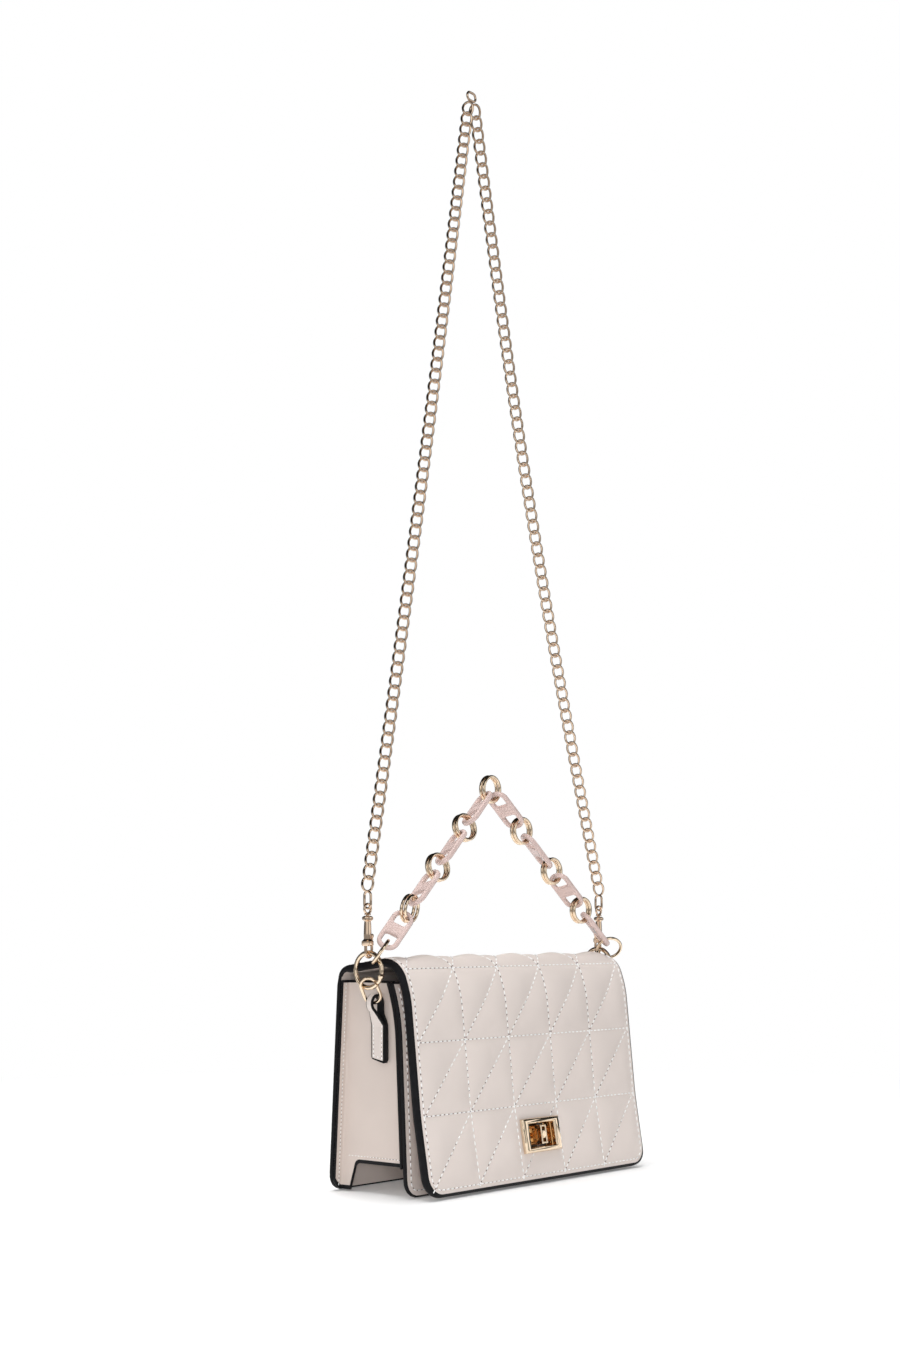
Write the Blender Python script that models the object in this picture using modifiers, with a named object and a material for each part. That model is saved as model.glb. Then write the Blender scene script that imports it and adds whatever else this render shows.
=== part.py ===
"""Quilted crossbody bag with a turn lock, a short link handle and a long chain strap.

Metres, +Z up. The bag faces -Y, X runs along its width, and the origin is on the
surface it stands on, under the middle of the whole object.
"""

import math

import bmesh
import bpy
from mathutils import Matrix, Vector

# Gaps and overruns
GAP = 0.0003
CUT_OVERRUN = 0.002

# Bag body: the outer line of back, top and flap, as corners of its side view
BAG_WIDTH = 0.230
BACK_FOOT_Y = 0.0415
BACK_TOP_Y = 0.0336
BACK_TOP_Z = 0.1399
FRONT_TOP_Y = -0.0166
FRONT_TOP_Z = 0.1474
FLAP_FOOT_Y = -0.0415
FLAP_FOOT_Z = 0.0015
BACK_TOP_RADIUS = 0.009
FRONT_TOP_RADIUS = 0.012
FLAP_CORNER_RADIUS = 0.013
FOLD_SHARE = 0.5
FOLD_STEPS = 6

# Sheets
FLAP_THICKNESS = 0.004
FLAP_LINING_THICKNESS = 0.001
FLAP_LINING_INSET = 0.002
PANEL_THICKNESS = 0.0025
PANEL_CORNER_RADIUS = 0.010
BOARD_THICKNESS = 0.0014
BOARD_INSET = 0.017
LINING_THICKNESS = 0.001

# Front panel
FRONT_FOOT_Y = -0.0224
FRONT_BEND_Y = -0.0180
FRONT_BEND_Z = 0.096
FRONT_CURL_RADIUS = 0.110
FRONT_CURL_HEIGHT = 0.0355
FRONT_PANEL_INSET = 0.001

# Gussets, bottom and lining
GUSSET_INSET = 0.001
GUSSET_HOLLOW = 0.006
GUSSET_THICKNESS = 0.0018
GUSSET_FOOT = 0.001
GUSSET_TOP = 0.1312
GUSSET_HEM = 0.018
GUSSET_LEG_WIDTH = 0.0135
GUSSET_CORNER_RADIUS = 0.003
GUSSET_CORNER_STEPS = 3
GUSSET_NOTCH_RADIUS = 0.005
BOTTOM_THICKNESS = 0.0022
BOTTOM_LIFT = 0.0185
BOTTOM_END_GAP = 0.0015
LINING_TOP = 0.129
LINING_END_GAP = 0.0012
MOUTH_CLEARANCE = 0.0006

# Turn lock
LOCK_HEIGHT = 0.0307
FRAME_WIDTH = 0.038
FRAME_HEIGHT = 0.022
FRAME_DEPTH = 0.003
FRAME_BEVEL = 0.0009
WINDOW_WIDTH = 0.0265
WINDOW_HEIGHT = 0.015
SLEEVE_WALL = 0.001
BACKING_MARGIN = 0.0015
BACKING_THICKNESS = 0.001
BASE_WIDTH = 0.032
BASE_HEIGHT = 0.019
BASE_THICKNESS = 0.0012
BOSS_WIDTH = 0.024
BOSS_HEIGHT = 0.0125
KNOB_LENGTH = 0.0122
KNOB_WIDTH = 0.006
KNOB_DEPTH = 0.0055
KNOB_BEVEL = 0.0009
KNOB_PROUD = 0.0008
STEM_RADIUS = 0.002
STEM_SEAT = 0.0015
WASHER_WIDTH = 0.030
WASHER_HEIGHT = 0.010
WASHER_MARGIN = 0.0008
WASHER_THICKNESS = 0.001

# Tab sewn to each gusset
TAB_FOOT_Z = 0.081
TAB_TOP_Z = 0.1236
TAB_WIDTH = 0.011
TAB_NECK_WIDTH = 0.0045
TAB_LAYER = 0.0016
TAB_LOOP_RADIUS = 0.0058
TAB_NECK_DROP = 0.0138
TAB_LOOP_START_DEG = -60
TAB_LOOP_END_DEG = 180
TAB_Y = 0.003

# Snap ring, its gate, and the oval ring between it and the tab
RING_OUT = 0.005
RING_Z = 0.1382
RING_RADIUS = 0.0107
RING_WIRE = 0.0013
GATE_HINGE_DEG = 107
GATE_HINGE_GAP = 0.0012
GATE_TIP_DEG = 136
GATE_TIP_GAP = 0.0008
KNUCKLE_SHARE = 1.3
OVAL_WIRE = 0.00105
OVAL_HALF_WIDTH = 0.0049
OVAL_FOOT_Z = 0.1182
OVAL_TOP_Z = 0.1332
OVAL_TOP_LEAN = 0.0083
OVAL_TURN_DEG = 36

# Snap hook at each end of the strap
HOOK_WIRE = 0.00095
HOOK_RADIUS = 0.00275
HOOK_MOUTH_RISE = 0.0007
BLOCK_RADIUS = 0.0039
BLOCK_RISE = 0.0041
BLOCK_HEIGHT = 0.0034
BODY_RADIUS = 0.0023
BODY_SHIFT = 0.001
BODY_LENGTH = 0.0125
COLLAR_RADIUS = 0.0034
COLLAR_HEIGHT = 0.0025
BOLT_RADIUS = 0.00085
BOLT_LENGTH = 0.0105
BOLT_GRIP_RADIUS = 0.0011
BOLT_GRIP_LENGTH = 0.0025
EYE_STEM_RADIUS = 0.001
EYE_STEM_DEPTH = 0.002
EYE_DISC_RADIUS = 0.0022
EYE_DISC_HEIGHT = 0.001
EYE_RADIUS = 0.00295
EYE_WIRE = 0.00075

# Chain strap
LINK_PITCH = 0.0076
LINK_WIRE = 0.00075
LINK_HALF_WIDTH = 0.00275
CHAIN_TOP_Z = 0.717
CHAIN_TOP_Y = 0.020
CHAIN_END_DROP = 0.0061
CHAIN_BOW_LEFT = 0.002
CHAIN_BOW_RIGHT = 0.009
CURB_HALF_WIDTH = 0.0033
CURB_HALF_LENGTH = 0.00475
CURB_TWIST = 0.00075
CURB_WIRE = 0.00075
CHAIN_FACING_DEG = -45

# Handle
HANDLE_RING_DEG = 40
HANDLE_RING_RADIUS = 0.00815
HANDLE_RING_WIRE = 0.00115
HANDLE_RING_PAIR_GAP = 0.0005
HANDLE_START_Y = -0.68
HANDLE_START_Z = 0.73
HANDLE_TOP_Y = 0.004
HANDLE_LINK_LENGTH = 0.033
HANDLE_LINK_WIDTH = 0.014
HANDLE_LINK_THICKNESS = 0.003
HANDLE_LINK_RIM = 0.0029
HANDLE_LINK_BRIDGE = 0.009
HANDLE_LINK_HOLE_CORNER = 0.0015
HANDLE_SLACK = 0.0006
HANDLE_HANG_SLACK = 0.0015
LINK_ROLLS_LEFT_DEG = (38, -8, -14, -15)
LINK_ROLLS_RIGHT_DEG = (-16, 20, -18, 30)

# Colours (linear), roughness, metallic
BLUSH = ((0.70, 0.62, 0.57), 0.5, 0.0)
BLUSH_SHADE = ((0.60, 0.51, 0.46), 0.55, 0.0)
RESIN = ((0.73, 0.56, 0.50), 0.25, 0.0)
GOLD = ((0.86, 0.60, 0.36), 0.2, 1.0)
BOARD = ((0.32, 0.28, 0.24), 0.8, 0.0)
CLOTH = ((0.05, 0.035, 0.03), 0.8, 0.0)

ROUND_STEPS = 12
HOOK_STEPS = 8
SNAP_RING_STEPS = 22
GATE_STEPS = 6
SIDES = (("left", -1), ("right", 1))


# Scene and materials


def clear_scene():
    """Removes the objects that the scene starts with."""
    for obj in list(bpy.data.objects):
        bpy.data.objects.remove(obj, do_unlink=True)


def collection(name):
    made = bpy.data.collections.new(name)
    bpy.context.scene.collection.children.link(made)
    return made


def material(name, look):
    colour, roughness, metallic = look
    made = bpy.data.materials.new(name)
    made.use_nodes = True
    shader = made.node_tree.nodes["Principled BSDF"]
    shader.inputs["Base Color"].default_value = (*colour, 1.0)
    shader.inputs["Roughness"].default_value = roughness
    shader.inputs["Metallic"].default_value = metallic
    return made


def adopt(obj, name, look):
    """Names an object as a part of the bag and gives it its own material."""
    obj.name = name
    if obj.data:
        obj.data.name = name
        obj.data.materials.clear()
        obj.data.materials.append(material(name, look))
    for holder in list(obj.users_collection):
        holder.objects.unlink(obj)
    PARTS.objects.link(obj)
    return obj


def helper(obj, name):
    """Sets an object aside as a cutter or a guide."""
    obj.name = name
    obj.hide_render = True
    obj.display_type = "WIRE"
    for holder in list(obj.users_collection):
        holder.objects.unlink(obj)
    CUTTERS.objects.link(obj)
    return obj


def from_bmesh(bm, name):
    mesh = bpy.data.meshes.new(name)
    bmesh.ops.recalc_face_normals(bm, faces=bm.faces)
    bm.to_mesh(mesh)
    bm.free()
    obj = bpy.data.objects.new(name, mesh)
    bpy.context.scene.collection.objects.link(obj)
    return obj


def smooth(obj, degrees=35):
    obj.data.shade_smooth()
    obj.data.set_sharp_from_angle(angle=math.radians(degrees))
    return obj


def box(size, matrix):
    """A box of the given size, centred on the matrix's origin."""
    bm = bmesh.new()
    bmesh.ops.create_cube(bm, size=1)
    bmesh.ops.transform(bm, matrix=Matrix.Diagonal((*size, 1)), verts=bm.verts)
    obj = from_bmesh(bm, "box")
    obj.matrix_world = matrix
    return obj


def rod(radius, length, matrix, segments=ROUND_STEPS):
    """A cylinder along the matrix's Z, standing on its origin."""
    bm = bmesh.new()
    stand = Matrix.Translation((0, 0, length / 2))
    bmesh.ops.create_cone(
        bm, cap_ends=True, segments=segments, radius1=radius, radius2=radius, depth=length, matrix=stand
    )
    obj = from_bmesh(bm, "rod")
    obj.matrix_world = matrix
    return smooth(obj)


def torus(radius, wire, matrix, major=16, minor=6):
    bpy.ops.mesh.primitive_torus_add(
        major_radius=radius, minor_radius=wire, major_segments=major, minor_segments=minor
    )
    obj = bpy.context.active_object
    obj.matrix_world = matrix
    obj.data.shade_smooth()
    return obj


def boolean(obj, other, operation, name):
    """Cuts or joins with a helper object, which is set aside."""
    modifier = obj.modifiers.new(name, "BOOLEAN")
    modifier.operation = operation
    modifier.object = helper(other, f"{obj.name}_{name}")
    modifier.solver = "EXACT"
    return obj


def bevel(obj, width, segments=2):
    modifier = obj.modifiers.new("rounded edges", "BEVEL")
    modifier.width = width
    modifier.segments = segments
    modifier.limit_method = "ANGLE"
    return obj


def wire_curve(points, radius, cyclic=False, resolution=1, radii=None):
    """A round wire through the points."""
    data = bpy.data.curves.new("wire", "CURVE")
    data.dimensions = "3D"
    data.bevel_depth = radius
    data.bevel_resolution = resolution
    data.use_fill_caps = not cyclic
    spline = data.splines.new("POLY")
    spline.points.add(len(points) - 1)
    spline.use_cyclic_u = cyclic
    for index, (point, place) in enumerate(zip(spline.points, points)):
        point.co = (*place, 1)
        if radii:
            point.radius = radii[index]
    obj = bpy.data.objects.new("wire", data)
    bpy.context.scene.collection.objects.link(obj)
    return obj


def outline_plate(outlines, thickness):
    """A flat plate in XY, with the first outline outside and the others as holes."""
    data = bpy.data.curves.new("plate", "CURVE")
    data.dimensions = "2D"
    data.fill_mode = "BOTH"
    data.extrude = thickness / 2
    for points in outlines:
        spline = data.splines.new("POLY")
        spline.points.add(len(points) - 1)
        spline.use_cyclic_u = True
        for point, (x, y) in zip(spline.points, points):
            point.co = (x, y, 0, 1)
    obj = bpy.data.objects.new("plate", data)
    bpy.context.scene.collection.objects.link(obj)
    return obj


def meshed(obj):
    """The object's evaluated shape as a mesh object in the same place, for cutting and joining."""
    bpy.context.view_layer.update()
    graph = bpy.context.evaluated_depsgraph_get()
    mesh = bpy.data.meshes.new_from_object(obj.evaluated_get(graph))
    bm = bmesh.new()
    bm.from_mesh(mesh)
    bmesh.ops.remove_doubles(bm, verts=bm.verts, dist=GAP / 10)
    bmesh.ops.recalc_face_normals(bm, faces=bm.faces)
    bm.to_mesh(mesh)
    bm.free()
    made = bpy.data.objects.new("meshed", mesh)
    bpy.context.scene.collection.objects.link(made)
    made.matrix_world = obj.matrix_world
    bpy.data.objects.remove(obj, do_unlink=True)
    return made


# Side view, as (y, z) points


def fillet(before, corner, after, radius, steps=FOLD_STEPS):
    """The arc that rounds a corner, from the side of before to the side of after."""
    corner = Vector(corner)
    back = (Vector(before) - corner).normalized()
    ahead = (Vector(after) - corner).normalized()
    half = back.angle(ahead) / 2
    centre = corner + (back + ahead).normalized() * (radius / math.sin(half))
    start = corner + back * (radius / math.tan(half)) - centre
    end = corner + ahead * (radius / math.tan(half)) - centre
    sweep = start.angle_signed(end)
    return [centre + Matrix.Rotation(-sweep * i / steps, 2) @ start for i in range(steps + 1)]


def offset_path(points, distance):
    """The same line, moved to its left by the distance."""
    moved = []
    for index, point in enumerate(points):
        before = points[max(index - 1, 0)]
        after = points[min(index + 1, len(points) - 1)]
        normals = []
        for a, b in ((before, point), (point, after)):
            run = Vector(b) - Vector(a)
            if run.length > 0:
                normals.append(Vector((-run.y, run.x)).normalized())
        normal = sum(normals, Vector((0, 0))).normalized()
        stretch = 1 / normal.dot(normals[0])
        moved.append(Vector(point) + normal * distance * stretch)
    return moved


def at_height(points, z):
    """The point where a line of (y, z) points crosses the height z."""
    for a, b in zip(points[:-1], points[1:]):
        low, high = sorted((a[1], b[1]))
        if low <= z <= high and high > low:
            share = (z - a[1]) / (b[1] - a[1])
            return Vector(a).lerp(Vector(b), share)
    return Vector(points[0] if abs(points[0][1] - z) < abs(points[-1][1] - z) else points[-1])


BACK_FOOT = Vector((BACK_FOOT_Y, 0))
BACK_TOP = Vector((BACK_TOP_Y, BACK_TOP_Z))
FRONT_TOP = Vector((FRONT_TOP_Y, FRONT_TOP_Z))
FLAP_FOOT = Vector((FLAP_FOOT_Y, FLAP_FOOT_Z))
BACK_FOLD = fillet(BACK_FOOT, BACK_TOP, FRONT_TOP, BACK_TOP_RADIUS)
FRONT_FOLD = fillet(BACK_TOP, FRONT_TOP, FLAP_FOOT, FRONT_TOP_RADIUS)
FOLD_INDEX = round(FOLD_STEPS * FOLD_SHARE)
HINGE_YZ = FRONT_FOLD[FOLD_INDEX]


def front_path():
    """The front panel's outer line, from its curled top edge down to its foot."""
    bend = Vector((FRONT_BEND_Y, FRONT_BEND_Z))
    foot = Vector((FRONT_FOOT_Y, 0))
    lean = math.atan2(bend.x - foot.x, bend.y - foot.y)
    centre = bend + FRONT_CURL_RADIUS * Vector((math.cos(lean), -math.sin(lean)))
    sweep = FRONT_CURL_HEIGHT / FRONT_CURL_RADIUS
    curl = []
    for step in range(FOLD_STEPS // 2 + 1):
        angle = math.pi - lean - sweep * step / (FOLD_STEPS // 2)
        curl.append(centre + FRONT_CURL_RADIUS * Vector((math.cos(angle), math.sin(angle))))
    return [*reversed(curl), foot]


FRONT_PATH = front_path()
BACK_PATH = [BACK_FOOT, BACK_FOLD[0]]


def levelled(outer, inner):
    """The inner line with its ends slid along their own runs to the heights of the outer line's ends."""
    inner = [Vector(point) for point in inner]
    for end, neighbour in ((0, 1), (-1, -2)):
        run = inner[neighbour] - inner[end]
        if abs(run.y) > abs(run.x):
            inner[end] = inner[end] + run * ((outer[end][1] - inner[end].y) / run.y)
    return inner


def slab(name, look, path, inner, width, corner_radius=0.0):
    """A bent sheet between its outer and inner lines in side view, run along X."""
    bm = bmesh.new()
    ring = [*path, *reversed(inner)]
    verts = [bm.verts.new((-width / 2, point[0], point[1])) for point in ring]
    face = bm.faces.new(verts)
    made = bmesh.ops.extrude_face_region(bm, geom=[face])["geom"]
    moved = [item for item in made if isinstance(item, bmesh.types.BMVert)]
    bmesh.ops.translate(bm, verts=moved, vec=(width, 0, 0))
    if corner_radius:
        foot = (path[-1], inner[-1]) if path[-1][1] < path[0][1] else (path[0], inner[0])
        ends = [Vector((point[0], point[1])) for point in foot]
        edges = []
        for edge in bm.edges:
            places = [Vector((vert.co.y, vert.co.z)) for vert in edge.verts]
            same_x = abs(edge.verts[0].co.x - edge.verts[1].co.x) < GAP
            near = all(min((place - end).length for end in ends) < GAP / 10 for place in places)
            if same_x and near:
                edges.append(edge)
        bmesh.ops.bevel(
            bm, geom=edges, offset=corner_radius, segments=5, profile=0.5, affect="EDGES", clamp_overlap=True
        )
    return adopt(from_bmesh(bm, name), name, look)


def trimmed(path, low, high):
    """The stretch of a (y, z) line between two heights, kept in the line's own order."""
    inside = [point for point in path if low < point[1] < high]
    ends = [at_height(path, low), at_height(path, high)]
    if path[0][1] > path[-1][1]:
        ends.reverse()
    return [ends[0], *inside, ends[1]]


# Bag body


def make_panels():
    back_inner = levelled(BACK_PATH, offset_path(BACK_PATH, PANEL_THICKNESS))
    slab("back_panel", BLUSH, BACK_PATH, back_inner, BAG_WIDTH, PANEL_CORNER_RADIUS)
    front_width = BAG_WIDTH - 2 * FRONT_PANEL_INSET
    front_inner = levelled(FRONT_PATH, offset_path(FRONT_PATH, PANEL_THICKNESS))
    slab("front_panel", BLUSH, FRONT_PATH, front_inner, front_width, PANEL_CORNER_RADIUS)


def make_boards():
    low = BOTTOM_LIFT + BOTTOM_THICKNESS + GAP + BOARD_THICKNESS + GAP
    width = BAG_WIDTH - 2 * BOARD_INSET
    front = offset_path(FRONT_PATH, PANEL_THICKNESS + GAP)
    line = trimmed(front, low, FRONT_BEND_Z)
    board = slab("front_board", BOARD, line, levelled(line, offset_path(line, BOARD_THICKNESS)), width)
    place = panel_matrix(0)
    margin = 2 * WASHER_MARGIN
    window = (WASHER_WIDTH + margin, WASHER_HEIGHT + margin, 4 * PANEL_THICKNESS)
    boolean(board, box(window, place), "DIFFERENCE", "washer_window")
    back = offset_path(BACK_PATH, PANEL_THICKNESS + GAP)
    line = trimmed(back, low, LINING_TOP)
    slab("back_board", BOARD, line, levelled(line, offset_path(line, BOARD_THICKNESS)), width)
    y_front, y_back = inner_span(BOTTOM_LIFT)
    size = (width, y_back - y_front - 2 * GAP, BOARD_THICKNESS)
    middle = Vector((0, (y_front + y_back) / 2, BOTTOM_LIFT + BOTTOM_THICKNESS + GAP + BOARD_THICKNESS / 2))
    adopt(box(size, Matrix.Translation(middle)), "bottom_board", BOARD)


def inner_span(z):
    """The inner faces of the front and back panels at a height, as y values with their gap."""
    front = at_height(offset_path(FRONT_PATH, PANEL_THICKNESS), z)
    back = at_height(offset_path(BACK_PATH, PANEL_THICKNESS), z)
    return front[0] + GAP, back[0] - GAP


def gusset_levels():
    """The heights where the front panel's inner line bends, so that the flange follows it."""
    bends = [point[1] for point in offset_path(FRONT_PATH, PANEL_THICKNESS)]
    return [GUSSET_FOOT, *sorted(z for z in bends if GUSSET_FOOT < z < GUSSET_TOP), GUSSET_TOP]


def make_gusset(name, side):
    """A side panel set in from the edge, its flanges turned out along the front and back panels."""
    edge = BAG_WIDTH / 2 - GUSSET_INSET
    web = gusset_face_x() - GUSSET_THICKNESS
    bm = bmesh.new()
    grid = []
    for z in gusset_levels():
        y_front, y_back = inner_span(z)
        corners = [Vector((edge, y_front)), Vector((web, y_front)), Vector((web, y_back)), Vector((edge, y_back))]
        line = [
            corners[0],
            *fillet(*corners[:3], GUSSET_CORNER_RADIUS, GUSSET_CORNER_STEPS),
            *fillet(*corners[1:], GUSSET_CORNER_RADIUS, GUSSET_CORNER_STEPS),
            corners[3],
        ]
        grid.append([bm.verts.new((side * point.x, point.y, z)) for point in line])
    for low, high in zip(grid[:-1], grid[1:]):
        for index in range(len(low) - 1):
            bm.faces.new((low[index], low[index + 1], high[index + 1], high[index]))
    gusset = adopt(from_bmesh(bm, name), name, BLUSH_SHADE)
    outward = gusset.data.polygons[GUSSET_CORNER_STEPS + 1].normal.x * side > 0
    thicken = gusset.modifiers.new("thickness", "SOLIDIFY")
    thicken.thickness = GUSSET_THICKNESS
    thicken.offset = 1 if outward else -1
    thicken.use_even_offset = True
    y_front, y_back = inner_span(GUSSET_HEM)
    high = y_back - GUSSET_LEG_WIDTH
    size = (4 * GUSSET_HOLLOW, 2 * (high - y_front), 2 * GUSSET_HEM)
    cutter = box(size, Matrix.Translation((side * edge, high - size[1] / 2, 0)))
    bevel_long_edge(cutter, GUSSET_NOTCH_RADIUS)
    boolean(gusset, cutter, "DIFFERENCE", "notch")
    return gusset


def bevel_long_edge(obj, radius):
    """Rounds the one edge along X that is highest and furthest back."""
    bm = bmesh.new()
    bm.from_mesh(obj.data)
    along = [edge for edge in bm.edges if abs(edge.verts[0].co.y - edge.verts[1].co.y) < GAP
             and abs(edge.verts[0].co.z - edge.verts[1].co.z) < GAP]
    chosen = max(along, key=lambda edge: edge.verts[0].co.y + edge.verts[0].co.z)
    bmesh.ops.bevel(bm, geom=[chosen], offset=radius, segments=4, profile=0.5, affect="EDGES")
    bm.to_mesh(obj.data)
    bm.free()


def make_bottom():
    y_front, y_back = inner_span(BOTTOM_LIFT + BOTTOM_THICKNESS)
    half = BAG_WIDTH / 2 - GUSSET_INSET - GUSSET_HOLLOW - GUSSET_THICKNESS - BOTTOM_END_GAP
    size = (2 * half, y_back - y_front, BOTTOM_THICKNESS)
    middle = Vector((0, (y_front + y_back) / 2, BOTTOM_LIFT + BOTTOM_THICKNESS / 2))
    adopt(box(size, Matrix.Translation(middle)), "bottom_panel", BLUSH_SHADE)


def lining_walls():
    """The lining's outer size: half length, floor height, and (y front, y back) below and at the mouth."""
    half = BAG_WIDTH / 2 - GUSSET_INSET - GUSSET_HOLLOW - GUSSET_THICKNESS - LINING_END_GAP
    floor = BOTTOM_LIFT + BOTTOM_THICKNESS + GAP + BOARD_THICKNESS + GAP
    stack = GAP + BOARD_THICKNESS + MOUTH_CLEARANCE
    low, high = inner_span(floor), inner_span(LINING_TOP)
    below = (low[0] + stack, low[1] - stack)
    mouth = (high[0] + MOUTH_CLEARANCE, high[1] - stack)
    return half, floor, below, mouth


def make_lining():
    half, floor, below, mouth = lining_walls()
    bm = bmesh.new()
    bmesh.ops.create_cube(bm, size=2)
    for vert in bm.verts:
        spans, z = (below, floor) if vert.co.z < 0 else (mouth, LINING_TOP)
        vert.co = Vector((math.copysign(half, vert.co.x), spans[0] if vert.co.y < 0 else spans[1], z))
    bmesh.ops.recalc_face_normals(bm, faces=bm.faces)
    lid = [face for face in bm.faces if all(vert.co.z > LINING_TOP - GAP for vert in face.verts)]
    bmesh.ops.delete(bm, geom=lid, context="FACES")
    mesh = bpy.data.meshes.new("lining")
    bm.to_mesh(mesh)
    bm.free()
    lining = adopt(bpy.data.objects.new("lining", mesh), "lining", CLOTH)
    thicken = lining.modifiers.new("thickness", "SOLIDIFY")
    thicken.thickness = LINING_THICKNESS
    thicken.offset = -1
    thicken.use_even_offset = True


# Flap


def flap_outer_path():
    return [*FRONT_FOLD[FOLD_INDEX:], FLAP_FOOT]


def fold_lines(thickness, start=0.0):
    """The lines of a layer of the top and of the hanging flap, parted square to the fold at the hinge."""
    whole = [*BACK_FOLD, *FRONT_FOLD, FLAP_FOOT]
    count = len(BACK_FOLD) + FOLD_INDEX
    tangent = (whole[count + 1] - whole[count - 1]).normalized()
    rise = (BACK_FOLD[0] - BACK_FOOT).normalized()
    square = Vector((-rise.y, rise.x))
    lines = []
    for distance in (start, start + thickness):
        line = offset_path(whole, distance) if distance else list(whole)
        top, front = line[: count + 1], line[count:]
        top[-1] = top[-1] - tangent * GAP / 2
        front[0] = front[0] + tangent * GAP / 2
        top[0] = BACK_FOLD[0] + square * distance + rise * GAP
        lines.append((top, front))
    (top_outer, front_outer), (top_inner, front_inner) = lines
    return top_outer, top_inner, front_outer, levelled_foot(front_outer, front_inner)


def levelled_foot(outer, inner):
    """The inner line with only its lower end brought to the outer line's height."""
    return [*inner[:-1], levelled(outer, inner)[-1]]


def make_flap():
    top_outer, top_inner, outer, inner = fold_lines(FLAP_THICKNESS)
    slab("flap_top", BLUSH, top_outer, top_inner, BAG_WIDTH)
    hinge = bpy.data.objects.new("flap_hinge", None)
    PARTS.objects.link(hinge)
    hinge.location = (0, HINGE_YZ.x, HINGE_YZ.y)
    flap = slab("flap_front", BLUSH, outer, inner, BAG_WIDTH, FLAP_CORNER_RADIUS)
    hole = (
        WINDOW_WIDTH + 2 * SLEEVE_WALL + 2 * GAP,
        WINDOW_HEIGHT + 2 * SLEEVE_WALL + 2 * GAP,
        6 * FLAP_THICKNESS,
    )
    boolean(flap, box(hole, lock_matrix(0)), "DIFFERENCE", "lock_window")
    *_, near, far = fold_lines(FLAP_LINING_THICKNESS, FLAP_THICKNESS + GAP)
    near = trimmed(near, FLAP_FOOT_Z + FLAP_LINING_INSET, near[0][1] - FLAP_LINING_INSET)
    far = levelled(near, trimmed(far, near[-1][1] - GAP, near[0][1] + GAP))
    inner_width = BAG_WIDTH - 2 * FLAP_LINING_INSET
    inner_radius = FLAP_CORNER_RADIUS - FLAP_LINING_INSET
    lining = slab("flap_lining", BLUSH_SHADE, near, far, inner_width, inner_radius)
    boolean(lining, box(hole, lock_matrix(0)), "DIFFERENCE", "lock_window")
    for obj in (flap, lining):
        keep_place(obj, hinge)
    return hinge


def keep_place(obj, parent):
    """Parents an object to an empty without moving it."""
    bpy.context.view_layer.update()
    obj.parent = parent
    obj.matrix_parent_inverse = parent.matrix_world.inverted()


# Turn lock


def surface_matrix(path, z, distance):
    """A frame on a side-view line: Z out of the surface, Y up along it, at a distance outside it."""
    point = at_height(path, z)
    above = at_height(path, z + FRAME_HEIGHT)
    up = (above - point).normalized()
    out = Vector((-up.y, up.x))
    place = Vector((0, point.x, point.y)) + distance * Vector((0, out.x, out.y))
    rotation = Matrix(((1, 0, 0), (0, up.x, out.x), (0, up.y, out.y))).to_4x4()
    return Matrix.Translation(place) @ rotation


def lock_matrix(distance):
    """The turn lock's frame, at a distance outside the flap's outer face."""
    return surface_matrix(flap_outer_path(), LOCK_HEIGHT, distance)


def panel_matrix(distance):
    """The same height on the front panel, where the lock's axis meets it."""
    place = lock_matrix(0)
    out = place.col[2]
    depth = lock_to_panel()
    return surface_matrix(FRONT_PATH, place.translation.z - depth * out.z, distance)


def lock_to_panel():
    """How far the front panel lies behind the flap's outer face, along the lock's axis."""
    place = lock_matrix(0)
    out = place.col[2]
    panel_y = at_height(FRONT_PATH, LOCK_HEIGHT).x
    return (panel_y - place.translation.y) / -out.y


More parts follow.
